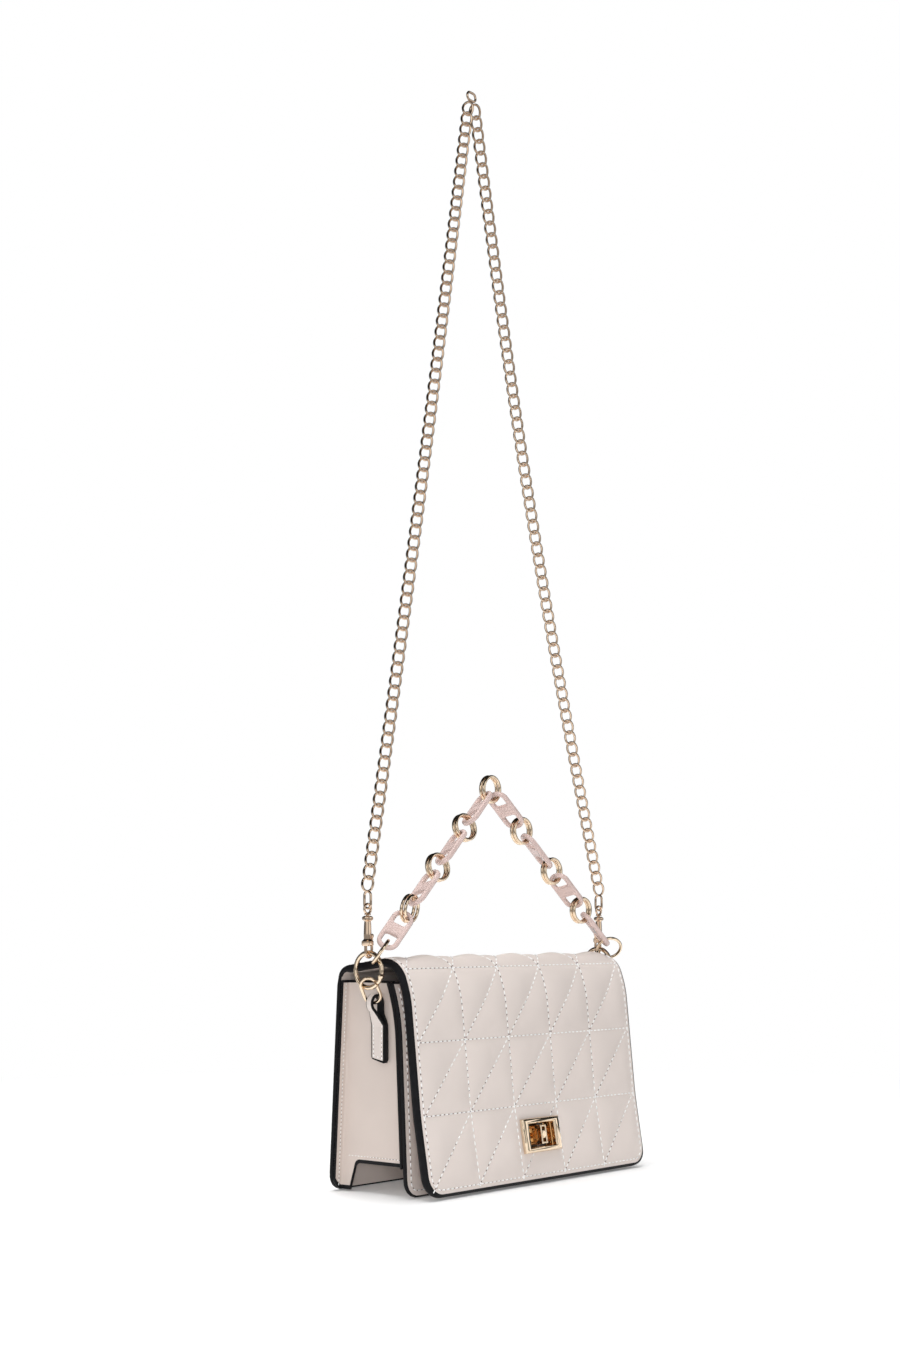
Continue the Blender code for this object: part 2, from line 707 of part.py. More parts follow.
def make_lock(hinge):
    boss_top = -(FLAP_THICKNESS + FLAP_LINING_THICKNESS + BACKING_THICKNESS + 4 * GAP)
    depth = lock_to_panel()
    base_size = (BASE_WIDTH, BASE_HEIGHT, BASE_THICKNESS)
    base = adopt(box(base_size, panel_matrix(GAP + BASE_THICKNESS / 2)), "lock_base", GOLD)
    boss_foot = -(depth - 2 * BASE_THICKNESS)
    boss = box((BOSS_WIDTH, BOSS_HEIGHT, boss_top - boss_foot), lock_matrix((boss_top + boss_foot) / 2))
    boolean(base, boss, "UNION", "boss")
    bore = rod(STEM_RADIUS + GAP, depth, lock_matrix(STEM_SEAT - depth))
    boolean(base, bore, "DIFFERENCE", "bore")
    knob_front = GAP + FRAME_DEPTH + KNOB_PROUD
    knob = adopt(
        box((KNOB_WIDTH, KNOB_LENGTH, KNOB_DEPTH), lock_matrix(knob_front - KNOB_DEPTH / 2)), "lock_knob", GOLD
    )
    bevel(knob, KNOB_BEVEL)
    stem_foot = STEM_SEAT + GAP - depth
    stem = rod(STEM_RADIUS, knob_front - KNOB_DEPTH / 2 - stem_foot, lock_matrix(stem_foot))
    boolean(knob, stem, "UNION", "stem")
    washer_place = panel_matrix(-(PANEL_THICKNESS + GAP + WASHER_THICKNESS / 2))
    adopt(box((WASHER_WIDTH, WASHER_HEIGHT, WASHER_THICKNESS), washer_place), "lock_washer", GOLD)
    frame_size = (FRAME_WIDTH, FRAME_HEIGHT, FRAME_DEPTH)
    frame = adopt(box(frame_size, lock_matrix(GAP + FRAME_DEPTH / 2)), "lock_frame", GOLD)
    bevel(frame, FRAME_BEVEL, 1)
    sleeve_foot = -(FLAP_THICKNESS + GAP + FLAP_LINING_THICKNESS)
    sleeve_top = GAP + FRAME_DEPTH / 2
    sleeve_size = (WINDOW_WIDTH + 2 * SLEEVE_WALL, WINDOW_HEIGHT + 2 * SLEEVE_WALL, sleeve_top - sleeve_foot)
    boolean(frame, box(sleeve_size, lock_matrix((sleeve_top + sleeve_foot) / 2)), "UNION", "sleeve")
    window = (WINDOW_WIDTH, WINDOW_HEIGHT, 4 * FLAP_THICKNESS + 2 * FRAME_DEPTH)
    boolean(frame, box(window, lock_matrix(0)), "DIFFERENCE", "window")
    backing_place = lock_matrix(sleeve_foot - GAP - BACKING_THICKNESS / 2)
    margin = 2 * BACKING_MARGIN
    backing_size = (FRAME_WIDTH - margin, FRAME_HEIGHT - margin, BACKING_THICKNESS)
    backing = adopt(box(backing_size, backing_place), "lock_backing", GOLD)
    boolean(backing, box(window, lock_matrix(0)), "DIFFERENCE", "window")
    for obj in (frame, backing):
        keep_place(obj, hinge)


# Hardware at each end


def ring_centre(side):
    return Vector((side * (BAG_WIDTH / 2 + RING_OUT), TAB_Y, RING_Z))


def ring_point(side, degrees, radius=RING_RADIUS):
    """A point round the snap ring, counted from its top towards the front."""
    angle = math.radians(degrees)
    return ring_centre(side) + radius * Vector((0, -math.sin(angle), math.cos(angle)))


def ring_arc(side, start, end, steps):
    return [ring_point(side, start + (end - start) * i / steps) for i in range(steps + 1)]


def gusset_face_x():
    return BAG_WIDTH / 2 - GUSSET_INSET - GUSSET_HOLLOW


def loop_centre(side):
    return Vector((side * (gusset_face_x() + GAP + TAB_LOOP_RADIUS), TAB_Y, TAB_TOP_Z - TAB_LOOP_RADIUS))


def make_tab(name, side):
    """A doubled strap in XZ, with a loop at its top, narrowed where the oval ring passes."""
    near = gusset_face_x() + GAP
    centre = loop_centre(side)
    cx, cz = abs(centre.x), centre.z
    outer = [(near, TAB_FOOT_Z), (near + 2 * TAB_LAYER, TAB_FOOT_Z), (near + 2 * TAB_LAYER, cz - TAB_NECK_DROP)]
    for step in range(ROUND_STEPS):
        share = step / (ROUND_STEPS - 1)
        angle = math.radians(TAB_LOOP_START_DEG + (TAB_LOOP_END_DEG - TAB_LOOP_START_DEG) * share)
        outer.append((cx + TAB_LOOP_RADIUS * math.cos(angle), cz + TAB_LOOP_RADIUS * math.sin(angle)))
    hole_radius = TAB_LOOP_RADIUS - TAB_LAYER
    hole = []
    for step in range(ROUND_STEPS):
        angle = 2 * math.pi * step / ROUND_STEPS
        hole.append((cx + hole_radius * math.cos(angle), cz + hole_radius * math.sin(angle)))
    plate = outline_plate((outer, hole), TAB_WIDTH)
    stand = Matrix(((side, 0, 0, 0), (0, 0, 1, TAB_Y), (0, 1, 0, 0), (0, 0, 0, 1)))
    tab = meshed(plate)
    neck = TAB_NECK_WIDTH / TAB_WIDTH
    shoulder = cz - TAB_NECK_DROP / 2
    for vert in tab.data.vertices:
        if vert.co.y > shoulder:
            vert.co.z *= neck
    tab.data.transform(stand)
    if stand.determinant() < 0:
        tab.data.flip_normals()
    return adopt(tab, name, BLUSH)


def stadium(half_length, half_width, steps=5):
    """Points round a long ring with half-round ends, its length along Y."""
    straight = half_length - half_width
    points = []
    for end in (1, -1):
        for step in range(steps + 1):
            angle = math.pi * step / steps
            points.append(
                Vector((end * half_width * math.cos(angle), end * (straight + half_width * math.sin(angle)), 0))
            )
    return points


def make_oval(name, side):
    foot = loop_centre(side)
    foot.z = OVAL_FOOT_Z
    top = Vector((foot.x + side * OVAL_TOP_LEAN, TAB_Y, OVAL_TOP_Z))
    up = (top - foot).normalized()
    turn = math.radians(OVAL_TURN_DEG)
    across = Vector((side * math.sin(turn), math.cos(turn), 0))
    across = (across - across.dot(up) * up).normalized()
    middle = (foot + top) / 2
    half_length = (top - foot).length / 2
    points = [middle + point.x * across + point.y * up for point in stadium(half_length, OVAL_HALF_WIDTH)]
    return adopt(wire_curve(points, OVAL_WIRE, cyclic=True), name, GOLD)


def make_snap_ring(tag, side):
    """The ring body and its sprung gate, hinged at the knuckle."""
    hinge_gap = math.degrees(GATE_HINGE_GAP / RING_RADIUS)
    tip_gap = math.degrees(GATE_TIP_GAP / RING_RADIUS)
    start, end = GATE_TIP_DEG + tip_gap, 360 + GATE_HINGE_DEG - hinge_gap
    adopt(wire_curve(ring_arc(side, start, end, SNAP_RING_STEPS), RING_WIRE), f"snap_ring_{tag}", GOLD)
    knuckle = bpy.data.objects.new(f"gate_hinge_{tag}", None)
    PARTS.objects.link(knuckle)
    knuckle.location = ring_point(side, GATE_HINGE_DEG)
    points = ring_arc(side, GATE_HINGE_DEG, GATE_TIP_DEG, GATE_STEPS)
    radii = [KNUCKLE_SHARE, KNUCKLE_SHARE] + [1] * (GATE_STEPS - 1)
    gate = adopt(wire_curve(points, RING_WIRE, radii=radii), f"ring_gate_{tag}", GOLD)
    keep_place(gate, knuckle)


# Strap


def hook_place(side):
    return ring_point(side, 0)


def make_clasp(tag, side, strap):
    """Snap hook: a hook round the ring, a slim body, a sliding bolt and a swivel eye."""
    place = hook_place(side)
    outward = Vector((side, 0, 0))
    up = Vector((0, 0, 1))
    block_z = place.z + BLOCK_RISE
    points = [place + outward * HOOK_RADIUS + up * (BLOCK_RISE + BLOCK_HEIGHT / 2)]
    for step in range(HOOK_STEPS + 1):
        angle = -math.pi * step / HOOK_STEPS
        points.append(place + outward * HOOK_RADIUS * math.cos(angle) + up * HOOK_RADIUS * math.sin(angle))
    points.append(place - outward * HOOK_RADIUS + up * HOOK_MOUTH_RISE)
    hook = meshed(wire_curve(points, HOOK_WIRE))
    clasp = adopt(
        rod(BLOCK_RADIUS, BLOCK_HEIGHT, Matrix.Translation((place.x, place.y, block_z))), f"clasp_{tag}", GOLD
    )
    boolean(clasp, hook, "UNION", "hook")
    body_x = place.x + side * BODY_SHIFT
    body_z = block_z + BLOCK_HEIGHT / 2
    body_place = Matrix.Translation((body_x, place.y, body_z))
    boolean(clasp, rod(BODY_RADIUS, BODY_LENGTH + BLOCK_HEIGHT / 2, body_place), "UNION", "body")
    collar_z = block_z + BLOCK_HEIGHT + BODY_LENGTH
    collar = rod(COLLAR_RADIUS, COLLAR_HEIGHT, Matrix.Translation((body_x, place.y, collar_z - COLLAR_HEIGHT / 2)))
    boolean(clasp, collar, "UNION", "collar")
    top_z = collar_z + COLLAR_HEIGHT / 2
    socket_depth = EYE_STEM_DEPTH + GAP
    socket = rod(
        EYE_STEM_RADIUS + GAP, socket_depth + CUT_OVERRUN, Matrix.Translation((body_x, place.y, top_z - socket_depth))
    )
    boolean(clasp, socket, "DIFFERENCE", "socket")
    bolt_x = place.x - side * HOOK_RADIUS
    bolt_foot = place.z + HOOK_MOUTH_RISE + GAP
    channel_place = Matrix.Translation((bolt_x, place.y, block_z - CUT_OVERRUN))
    channel = rod(BOLT_RADIUS + GAP, BLOCK_HEIGHT + 2 * CUT_OVERRUN, channel_place)
    boolean(clasp, channel, "DIFFERENCE", "bolt_channel")
    bolt = adopt(
        rod(BOLT_RADIUS, BOLT_LENGTH, Matrix.Translation((bolt_x, place.y, bolt_foot)), 8), f"clasp_bolt_{tag}", GOLD
    )
    grip_place = Matrix.Translation((bolt_x, place.y, bolt_foot + BOLT_LENGTH - BOLT_GRIP_LENGTH))
    boolean(bolt, rod(BOLT_GRIP_RADIUS, BOLT_GRIP_LENGTH + GAP, grip_place, 8), "UNION", "grip")
    eye_foot = top_z - EYE_STEM_DEPTH
    eye = adopt(
        rod(EYE_STEM_RADIUS, EYE_STEM_DEPTH + 2 * GAP, Matrix.Translation((body_x, place.y, eye_foot)), 8),
        f"swivel_eye_{tag}",
        GOLD,
    )
    disc = rod(EYE_DISC_RADIUS, EYE_DISC_HEIGHT, Matrix.Translation((body_x, place.y, top_z + GAP)))
    boolean(eye, disc, "UNION", "disc")
    eye_z = top_z + GAP + EYE_DISC_HEIGHT + EYE_RADIUS
    stand = Matrix.Translation((body_x, place.y, eye_z)) @ Matrix.Rotation(math.pi / 2, 4, "X")
    boolean(eye, torus(EYE_RADIUS, EYE_WIRE, stand, 12, 6), "UNION", "loop")
    swivel = bpy.data.objects.new(f"clasp_swivel_{tag}", None)
    PARTS.objects.link(swivel)
    swivel.location = (body_x, place.y, top_z)
    for obj in (swivel, eye):
        keep_place(obj, strap)
    for obj in (clasp, bolt):
        keep_place(obj, swivel)
    return Vector((body_x, place.y, eye_z))


def curb_row(rise):
    """One level of a curb link above its middle: (across, depth, half depth) from its left edge to its right."""
    lean = math.asin(rise / CURB_HALF_LENGTH)
    middle = CURB_HALF_WIDTH * math.cos(lean)
    depth = CURB_TWIST * math.sin(2 * lean)
    outer, inner = middle + CURB_WIRE, middle - CURB_WIRE
    return [
        (-outer, -depth, CURB_WIRE), (-inner, -depth, CURB_WIRE), (inner, depth, CURB_WIRE), (outer, depth, CURB_WIRE)
    ]


def curb_crossing():
    """The level where two links bear on each other."""
    middle = CURB_HALF_WIDTH * math.cos(math.asin(LINK_PITCH / 2 / CURB_HALF_LENGTH))
    outer, inner, thick = middle + CURB_WIRE, middle - CURB_WIRE, CURB_TWIST + CURB_WIRE
    return [(-outer, 0, thick), (-inner, 0, CURB_WIRE), (inner, 0, CURB_WIRE), (outer, 0, thick)]


def curb_end():
    """The closed end of the first and the last link."""
    outer, inner = 2 * CURB_WIRE, CURB_WIRE / 2
    return [(-outer, 0, inner), (-inner, 0, inner), (inner, 0, inner), (outer, 0, inner)]


def curb_run(places, across):
    """A run of curb links as one closed shape: a strip with a hole in each link, woven over and under."""
    opening = LINK_PITCH - CURB_HALF_LENGTH - CURB_WIRE
    reach = CURB_HALF_LENGTH + CURB_WIRE
    last = len(places) - 1
    rows = []
    for index, place in enumerate(places):
        frame = frame_matrix(place, places[min(index + 1, last)] - places[max(index - 1, 0)], across)
        if index == 0:
            rows.append((frame, -reach, curb_end(), False))
        rows.append((frame, -opening, curb_row(-opening), True))
        rows.append((frame, 0, curb_row(0), True))
        rows.append((frame, opening, curb_row(opening), False))
        rise, level = (reach, curb_end()) if index == last else (LINK_PITCH / 2, curb_crossing())
        rows.append((frame, rise, level, False))
    bm = bmesh.new()
    front, back, holes = [], [], []
    for frame, rise, level, hole in rows:
        front.append([bm.verts.new(frame @ Vector((x, rise, depth - half))) for x, depth, half in level])
        back.append([bm.verts.new(frame @ Vector((x, rise, depth + half))) for x, depth, half in level])
        holes.append(hole)
    for row in range(len(rows) - 1):
        for column in range(3):
            if column == 1 and holes[row]:
                continue
            for side in (front, back):
                low, high = side[row], side[row + 1]
                bm.faces.new((low[column], low[column + 1], high[column + 1], high[column]))
        columns = (0, 1, 2, 3) if holes[row] else (0, 3)
        for column in columns:
            bm.faces.new((front[row][column], front[row + 1][column], back[row + 1][column], back[row][column]))
    for row in range(len(rows)):
        before, after = row > 0 and holes[row - 1], holes[row]
        if row in (0, len(rows) - 1):
            columns = (0, 1, 2)
        else:
            columns = (1,) if before != after else ()
        for column in columns:
            bm.faces.new((front[row][column], front[row][column + 1], back[row][column + 1], back[row][column]))
    return from_bmesh(bm, "links")


def make_chain(tag, side, eye, bow, strap):
    """The end link in the swivel eye, and the run of curb links above it."""
    wire_gap = 2 * LINK_WIRE + GAP
    half_length = LINK_PITCH / 2 + LINK_WIRE
    foot_z = eye.z + EYE_RADIUS - EYE_WIRE + LINK_WIRE - wire_gap
    middle = Vector((eye.x, eye.y, foot_z + half_length))
    points = [middle + Vector((0, point.x, point.y)) for point in stadium(half_length, LINK_HALF_WIDTH)]
    end_link = adopt(wire_curve(points, LINK_WIRE, cyclic=True), f"end_link_{tag}", GOLD)
    reach = CURB_HALF_LENGTH + CURB_WIRE
    start = Vector((eye.x, eye.y, middle.z + half_length + LINK_WIRE + GAP + reach))
    top = Vector((side * LINK_PITCH / 2, CHAIN_TOP_Y, CHAIN_TOP_Z - CHAIN_END_DROP - reach))
    count = round((top - start).length / LINK_PITCH)
    places = []
    for link in range(count + 1):
        share = link / count
        places.append(start.lerp(top, share) + Vector((-side * bow * math.sin(math.pi * share), 0, 0)))
    facing = math.radians(CHAIN_FACING_DEG)
    chain = adopt(curb_run(places, Vector((math.cos(facing), math.sin(facing), 0))), f"chain_{tag}", GOLD)
    for obj in (end_link, chain):
        keep_place(obj, strap)


def make_strap():
    strap = bpy.data.objects.new("strap_hinge", None)
    PARTS.objects.link(strap)
    strap.location = (0, TAB_Y, RING_Z)
    for (tag, side), bow in zip(SIDES, (CHAIN_BOW_LEFT, CHAIN_BOW_RIGHT)):
        eye = make_clasp(tag, side, strap)
        make_chain(tag, side, eye, bow, strap)
    half_length = LINK_PITCH / 2 + LINK_WIRE
    middle = Vector((0, CHAIN_TOP_Y, CHAIN_TOP_Z - LINK_HALF_WIDTH))
    points = [middle + Vector((point.y, 0, point.x)) for point in stadium(half_length, LINK_HALF_WIDTH)]
    keep_place(adopt(wire_curve(points, LINK_WIRE, cyclic=True), "top_link", GOLD), strap)


# Handle


def frame_matrix(place, along, across):
    """A frame with X across, Y along and Z square to both, at a place."""
    along = along.normalized()
    across = (across - across.dot(along) * along).normalized()
    square = across.cross(along)
    rotation = Matrix((across, along, square)).transposed().to_4x4()
    return Matrix.Translation(place) @ rotation


def handle_layout(side):
    """The first bar, the direction to the middle ring, and that ring's place, for one half."""
    start_dir = Vector((0, HANDLE_START_Y, HANDLE_START_Z)).normalized()
    wire_to_ring = HANDLE_RING_RADIUS - HANDLE_RING_WIRE - RING_WIRE - HANDLE_HANG_SLACK
    bar = HANDLE_LINK_RIM / 2
    ring_to_bar = HANDLE_RING_RADIUS - HANDLE_RING_WIRE - bar - HANDLE_SLACK
    ring_place = ring_point(side, HANDLE_RING_DEG) + start_dir * wire_to_ring
    bars = HANDLE_LINK_LENGTH - 2 * bar
    reach = 4 * bars + 8 * ring_to_bar
    rise = math.sqrt(reach**2 - ring_place.x**2 - (HANDLE_TOP_Y - ring_place.y) ** 2)
    top = Vector((0, HANDLE_TOP_Y, ring_place.z + rise))
    direction = (top - ring_place).normalized()
    return ring_place, start_dir, ring_place + direction * ring_to_bar, direction, bars, ring_to_bar, top


def rolled(along, degrees):
    """A link's width direction: square to its length, turned about it from the bag's depth."""
    depth = Vector((0, 1, 0))
    depth = (depth - depth.dot(along) * along).normalized()
    rise = along.cross(depth)
    angle = math.radians(degrees)
    return math.cos(angle) * depth + math.sin(angle) * rise


def link_outlines():
    half = HANDLE_LINK_LENGTH / 2
    rim = HANDLE_LINK_RIM
    outer = [(point.x, point.y) for point in stadium(half, HANDLE_LINK_WIDTH / 2, 6)]
    hole_far = half - rim
    hole_near = HANDLE_LINK_BRIDGE / 2
    across = HANDLE_LINK_WIDTH / 2 - rim
    corner = HANDLE_LINK_HOLE_CORNER
    holes = []
    for end in (1, -1):
        ring = []
        for right, far in ((1, 1), (0, 1), (0, 0), (1, 0)):
            middle_x = (across - corner) * (2 * right - 1)
            middle_y = hole_far - corner if far else hole_near + corner
            start = {(1, 1): 0, (0, 1): 90, (0, 0): 180, (1, 0): 270}[right, far]
            for turn in (0, 45, 90):
                angle = math.radians(start + turn)
                ring.append((middle_x + corner * math.cos(angle), end * (middle_y + corner * math.sin(angle))))
        holes.append(ring)
    return (outer, *holes)


def make_handle_rings(name, place, along, across, count):
    """One ring, or two side by side, standing across the links."""
    spread = HANDLE_RING_WIRE + HANDLE_RING_PAIR_GAP / 2
    shifts = (0,) if count == 1 else (-spread, spread)
    made = []
    for letter, shift in zip("ab", shifts):
        frame = frame_matrix(place, along, across)
        turned = frame @ Matrix.Translation((shift, 0, 0)) @ Matrix.Rotation(math.pi / 2, 4, "Y")
        ring = torus(HANDLE_RING_RADIUS, HANDLE_RING_WIRE, turned, 16, 6)
        made.append(adopt(ring, name if count == 1 else f"{name}{letter}", GOLD))
    return made


def make_handle():
    handle = bpy.data.objects.new("handle_hinge", None)
    PARTS.objects.link(handle)
    middle = ring_point(0, HANDLE_RING_DEG)
    handle.location = (0, middle.y, middle.z)
    made = []
    directions = []
    letters = iter("12345678")
    for (tag, side), rolls in zip(SIDES, (LINK_ROLLS_LEFT_DEG, tuple(reversed(LINK_ROLLS_RIGHT_DEG)))):
        ring_place, start_dir, first, direction, bars, ring_to_bar, top = handle_layout(side)
        widths = []
        for index, roll in enumerate(rolls):
            place = first + direction * (bars / 2 + index * (bars + 2 * ring_to_bar))
            along = direction if side < 0 else -direction
            across = rolled(along, roll)
            widths.append(across)
            plate = outline_plate(link_outlines(), HANDLE_LINK_THICKNESS)
            plate.matrix_world = frame_matrix(place, along, across)
            made.append(adopt(plate, f"handle_link_{next(letters)}", RESIN))
        across = start_dir.cross(direction)
        made += make_handle_rings(f"handle_end_ring_{tag}", ring_place, direction, across, 1)
        for index in range(3):
            place = first + direction * (bars + ring_to_bar + index * (bars + 2 * ring_to_bar))
            across = widths[index] + widths[index + 1]
            number = index + 1 if side < 0 else 7 - index
            made += make_handle_rings(f"handle_ring_{number}", place, direction, across, 2)
        directions.append(direction)
    across = directions[0].cross(directions[1])
    made += make_handle_rings("handle_ring_4", top, Vector((0, 0, 1)), across, 2)
    for obj in made:
        keep_place(obj, handle)


def main():
    make_panels()
    make_boards()
    make_bottom()
    make_lining()
    hinge = make_flap()
    make_lock(hinge)
    for tag, side in SIDES:
        make_gusset(f"gusset_{tag}", side)
        make_tab(f"tab_{tag}", side)
        make_oval(f"oval_ring_{tag}", side)
        make_snap_ring(tag, side)
    make_strap()
    make_handle()


clear_scene()
PARTS = collection("quilted_crossbody_bag")
CUTTERS = collection("cutters")
main()
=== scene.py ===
"""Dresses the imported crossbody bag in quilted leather, thread, gold hardware, curb chain and resin."""

import math

import bmesh
import bpy
import numpy as np
from bpy.props import FloatProperty, FloatVectorProperty, IntProperty, PointerProperty
from mathutils import Matrix, Vector
from mathutils.bvhtree import BVHTree


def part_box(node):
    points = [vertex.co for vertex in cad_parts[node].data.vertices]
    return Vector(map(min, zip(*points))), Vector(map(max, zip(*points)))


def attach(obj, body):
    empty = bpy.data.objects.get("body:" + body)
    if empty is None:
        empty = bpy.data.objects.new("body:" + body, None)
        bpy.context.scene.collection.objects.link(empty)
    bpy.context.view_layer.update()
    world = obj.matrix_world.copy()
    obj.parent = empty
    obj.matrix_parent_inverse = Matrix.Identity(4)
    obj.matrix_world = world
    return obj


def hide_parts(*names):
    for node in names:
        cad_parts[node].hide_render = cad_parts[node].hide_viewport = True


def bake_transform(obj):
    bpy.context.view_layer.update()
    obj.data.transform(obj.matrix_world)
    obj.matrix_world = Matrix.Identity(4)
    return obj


bl_info = {
    "name": "Quilted Crossbody Bag",
    "version": (1, 0, 0),
    "blender": (4, 5, 0),
    "location": "View3D > Sidebar > Bag",
    "description": "Builds the leather, stitching, chain and hardware of a quilted crossbody bag",
    "category": "Object",
}

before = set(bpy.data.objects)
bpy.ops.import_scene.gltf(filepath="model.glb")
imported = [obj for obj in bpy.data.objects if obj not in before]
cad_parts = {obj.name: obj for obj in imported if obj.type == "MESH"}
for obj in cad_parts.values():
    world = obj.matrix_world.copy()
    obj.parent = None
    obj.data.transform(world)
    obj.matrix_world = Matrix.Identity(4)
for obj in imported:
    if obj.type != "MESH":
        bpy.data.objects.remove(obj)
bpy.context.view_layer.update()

# The bag's side view, in metres: its corners as (depth, height), then how widely they are rounded
BACK_FOOT = (0.0415, 0.0)
BACK_TOP = (0.0336, 0.1399)
FRONT_TOP = (-0.0166, 0.1474)
FLAP_SHOULDER = (-0.0254, 0.1225)
FLAP_HOLLOW = (-0.0332, 0.0500)
FLAP_FOOT = (-0.0415, 0.0015)
FRONT_FOOT = (-0.0224, 0.0)
FRONT_BEND = (-0.0180, 0.096)
BACK_FOLD_RADIUS = 0.009
FRONT_FOLD_RADIUS = 0.018
SHOULDER_RADIUS = 0.065
HOLLOW_RADIUS = 0.25
FRONT_CURL_RADIUS = 0.110
FRONT_CURL_LENGTH = 0.0355

# Sizes and places of the leather that several pieces share
PANEL_CORNER = 0.010
FRONT_NARROWER = 0.002
GUSSET_FACE = 0.108
GUSSET_TOP = 0.1312
GUSSET_HEM = 0.018
GUSSET_THICKNESS = 0.0018
TAB_LAYER = 0.0016
LOOP_RADIUS = 0.0058
LOOP_TOP = 0.1236

# Heights on the flap: where its stitching parts between bag and flap, and the turn lock's middle
FOLD_SPLIT_HEIGHT = 0.1435
LOCK_HEIGHT = 0.0307

# The height of the lock's base on the front panel, and half widths of its frame and of what it covers
BASE_HEIGHT = 0.0281
LOCK_PLATE_HALF = 0.019
LOCK_HALF_WIDTH = LOCK_PLATE_HALF + 0.0005

# The snap rings' middle on the right side, and their centre line
RING_CENTRE = (0.120, 0.003, 0.1382)
RING_RADIUS = 0.0107
SIDES = (("left", -1), ("right", 1))

# Clearance between pieces that touch or turn
GAP = 0.0003


def length(name, text, default):
    return FloatProperty(name=name, description=text, default=default, unit="LENGTH", precision=5)


def colour(name, text, default):
    return FloatVectorProperty(
        name=name, description=text, default=default, subtype="COLOR", size=3, min=0.0, max=1.0
    )


class BagSizes(bpy.types.PropertyGroup):
    """Sizes of the bag's leather"""

    width: length("Width", "Width of the back, top and flap", 0.230)
    flap_thickness: length("Flap thickness", "From the quilting's seams to the flap's lining", 0.0052)
    panel_thickness: length("Panel thickness", "Of the back and front panels", 0.0025)
    puff: length("Puff", "How far the padding stands above its seams", 0.0019)
    cell: length("Quilt cell", "Width of one quilted square", 0.044)
    row: length("Quilt row", "Height of one quilted square along the flap", 0.0446)
    edge_seam: length("Edge seam", "From the leather's edge to its stitching", 0.0045)
    corner: length("Corner", "Radius of the flap's lower corners", 0.013)
    stitch: length("Stitch", "Length of one visible stitch", 0.0029)
    stitch_pitch: length("Stitch pitch", "From one stitch to the next", 0.0041)
    thread: length("Thread", "Radius of the sewing thread", 0.00046)
    needle: length("Needle hole", "Radius of the holes between stitches", 0.00050)


class HardwareSizes(bpy.types.PropertyGroup):
    """Sizes of the metal and resin parts"""

    ring_wire: length("Ring wire", "Wire radius of the snap rings", 0.00145)
    pitch: length("Chain pitch", "From one curb link to the next", 0.0076)
    link_half_width: length("Chain link half width", "Centre line of a curb link", 0.0033)
    link_half_length: length("Chain link half length", "Centre line of a curb link", 0.00475)
    link_twist: length("Chain link twist", "How far a curb link is twisted out of its plane", 0.00075)
    link_wire: length("Chain wire", "Wire radius of a curb link", 0.00078)
    handle_link: length("Handle link", "Length of a resin link", 0.033)
    handle_width: length("Handle link width", "Width of a resin link", 0.014)
    handle_thickness: length("Handle link thickness", "Thickness of a resin link", 0.0034)
    wire_steps: IntProperty(name="Wire steps", description="Points round a ring", default=56, min=12, max=128)


class BagColours(bpy.types.PropertyGroup):
    """Colours of the bag"""

    leather: colour("Leather", "Blush leather of the flap and panels", (0.700, 0.624, 0.583))
    # A darker copy of the blush leather: on the gussets and the bottom panel the darkening is painted shade.
    # The flap's lining shares it.
    gusset: colour("Gusset", "Blush leather of the sides", (0.655, 0.566, 0.515))
    edge: colour("Edge paint", "Painted cut edges", (0.0075, 0.0075, 0.0085))
    thread: colour("Thread", "Sewing thread", (1.0, 0.985, 0.97))
    # The needle holes' colour is painted shade: dark beads stand where the holes lie in shadow
    needle: colour("Needle holes", "Shaded holes between stitches", (0.135, 0.100, 0.100))
    gold: colour("Gold", "Light gold plating", (0.95, 0.77, 0.57))
    # A darker copy of the gold plating: the darkening is painted shade and dark reflection on the chain, its
    # clasps and long links
    chain: colour("Chain gold with painted shade", "Plating of the strap and its clasps", (0.82, 0.63, 0.47))
    # A darker, warmer copy of the gold: painted shade and warm reflection inside the turn lock's window, on
    # the sleeve, boss and rim
    lock_shade_gold: colour("Lock shade gold", "Deeper gold inside the turn lock", (0.80, 0.46, 0.19))
    resin: colour("Resin", "Handle links", (0.65, 0.50, 0.465))
    lining: colour("Lining", "Woven lining", (0.020, 0.014, 0.012))
    board: colour("Board", "Stiffening boards", (0.32, 0.27, 0.22))


# Materials


class Graph:
    """Shorthand for adding nodes to a tree."""

    def __init__(self, tree):
        self.tree = tree

    def add(self, kind, inputs=None, **settings):
        node = self.tree.nodes.new(kind)
        for key, value in settings.items():
            setattr(node, key, value)
        for key, value in (inputs or {}).items():
            self.feed(node, key, value)
        return node

    def feed(self, node, key, value):
        if isinstance(value, bpy.types.NodeSocket):
            self.tree.links.new(value, node.inputs[key])
        else:
            node.inputs[key].default_value = value

    def math(self, operation, a, b):
        return self.add("ShaderNodeMath", {0: a, 1: b}, operation=operation).outputs[0]

    def span(self, factor, low, high):
        node = self.add("ShaderNodeMapRange", {"Value": factor, "To Min": low, "To Max": high})
        return node.outputs["Result"]


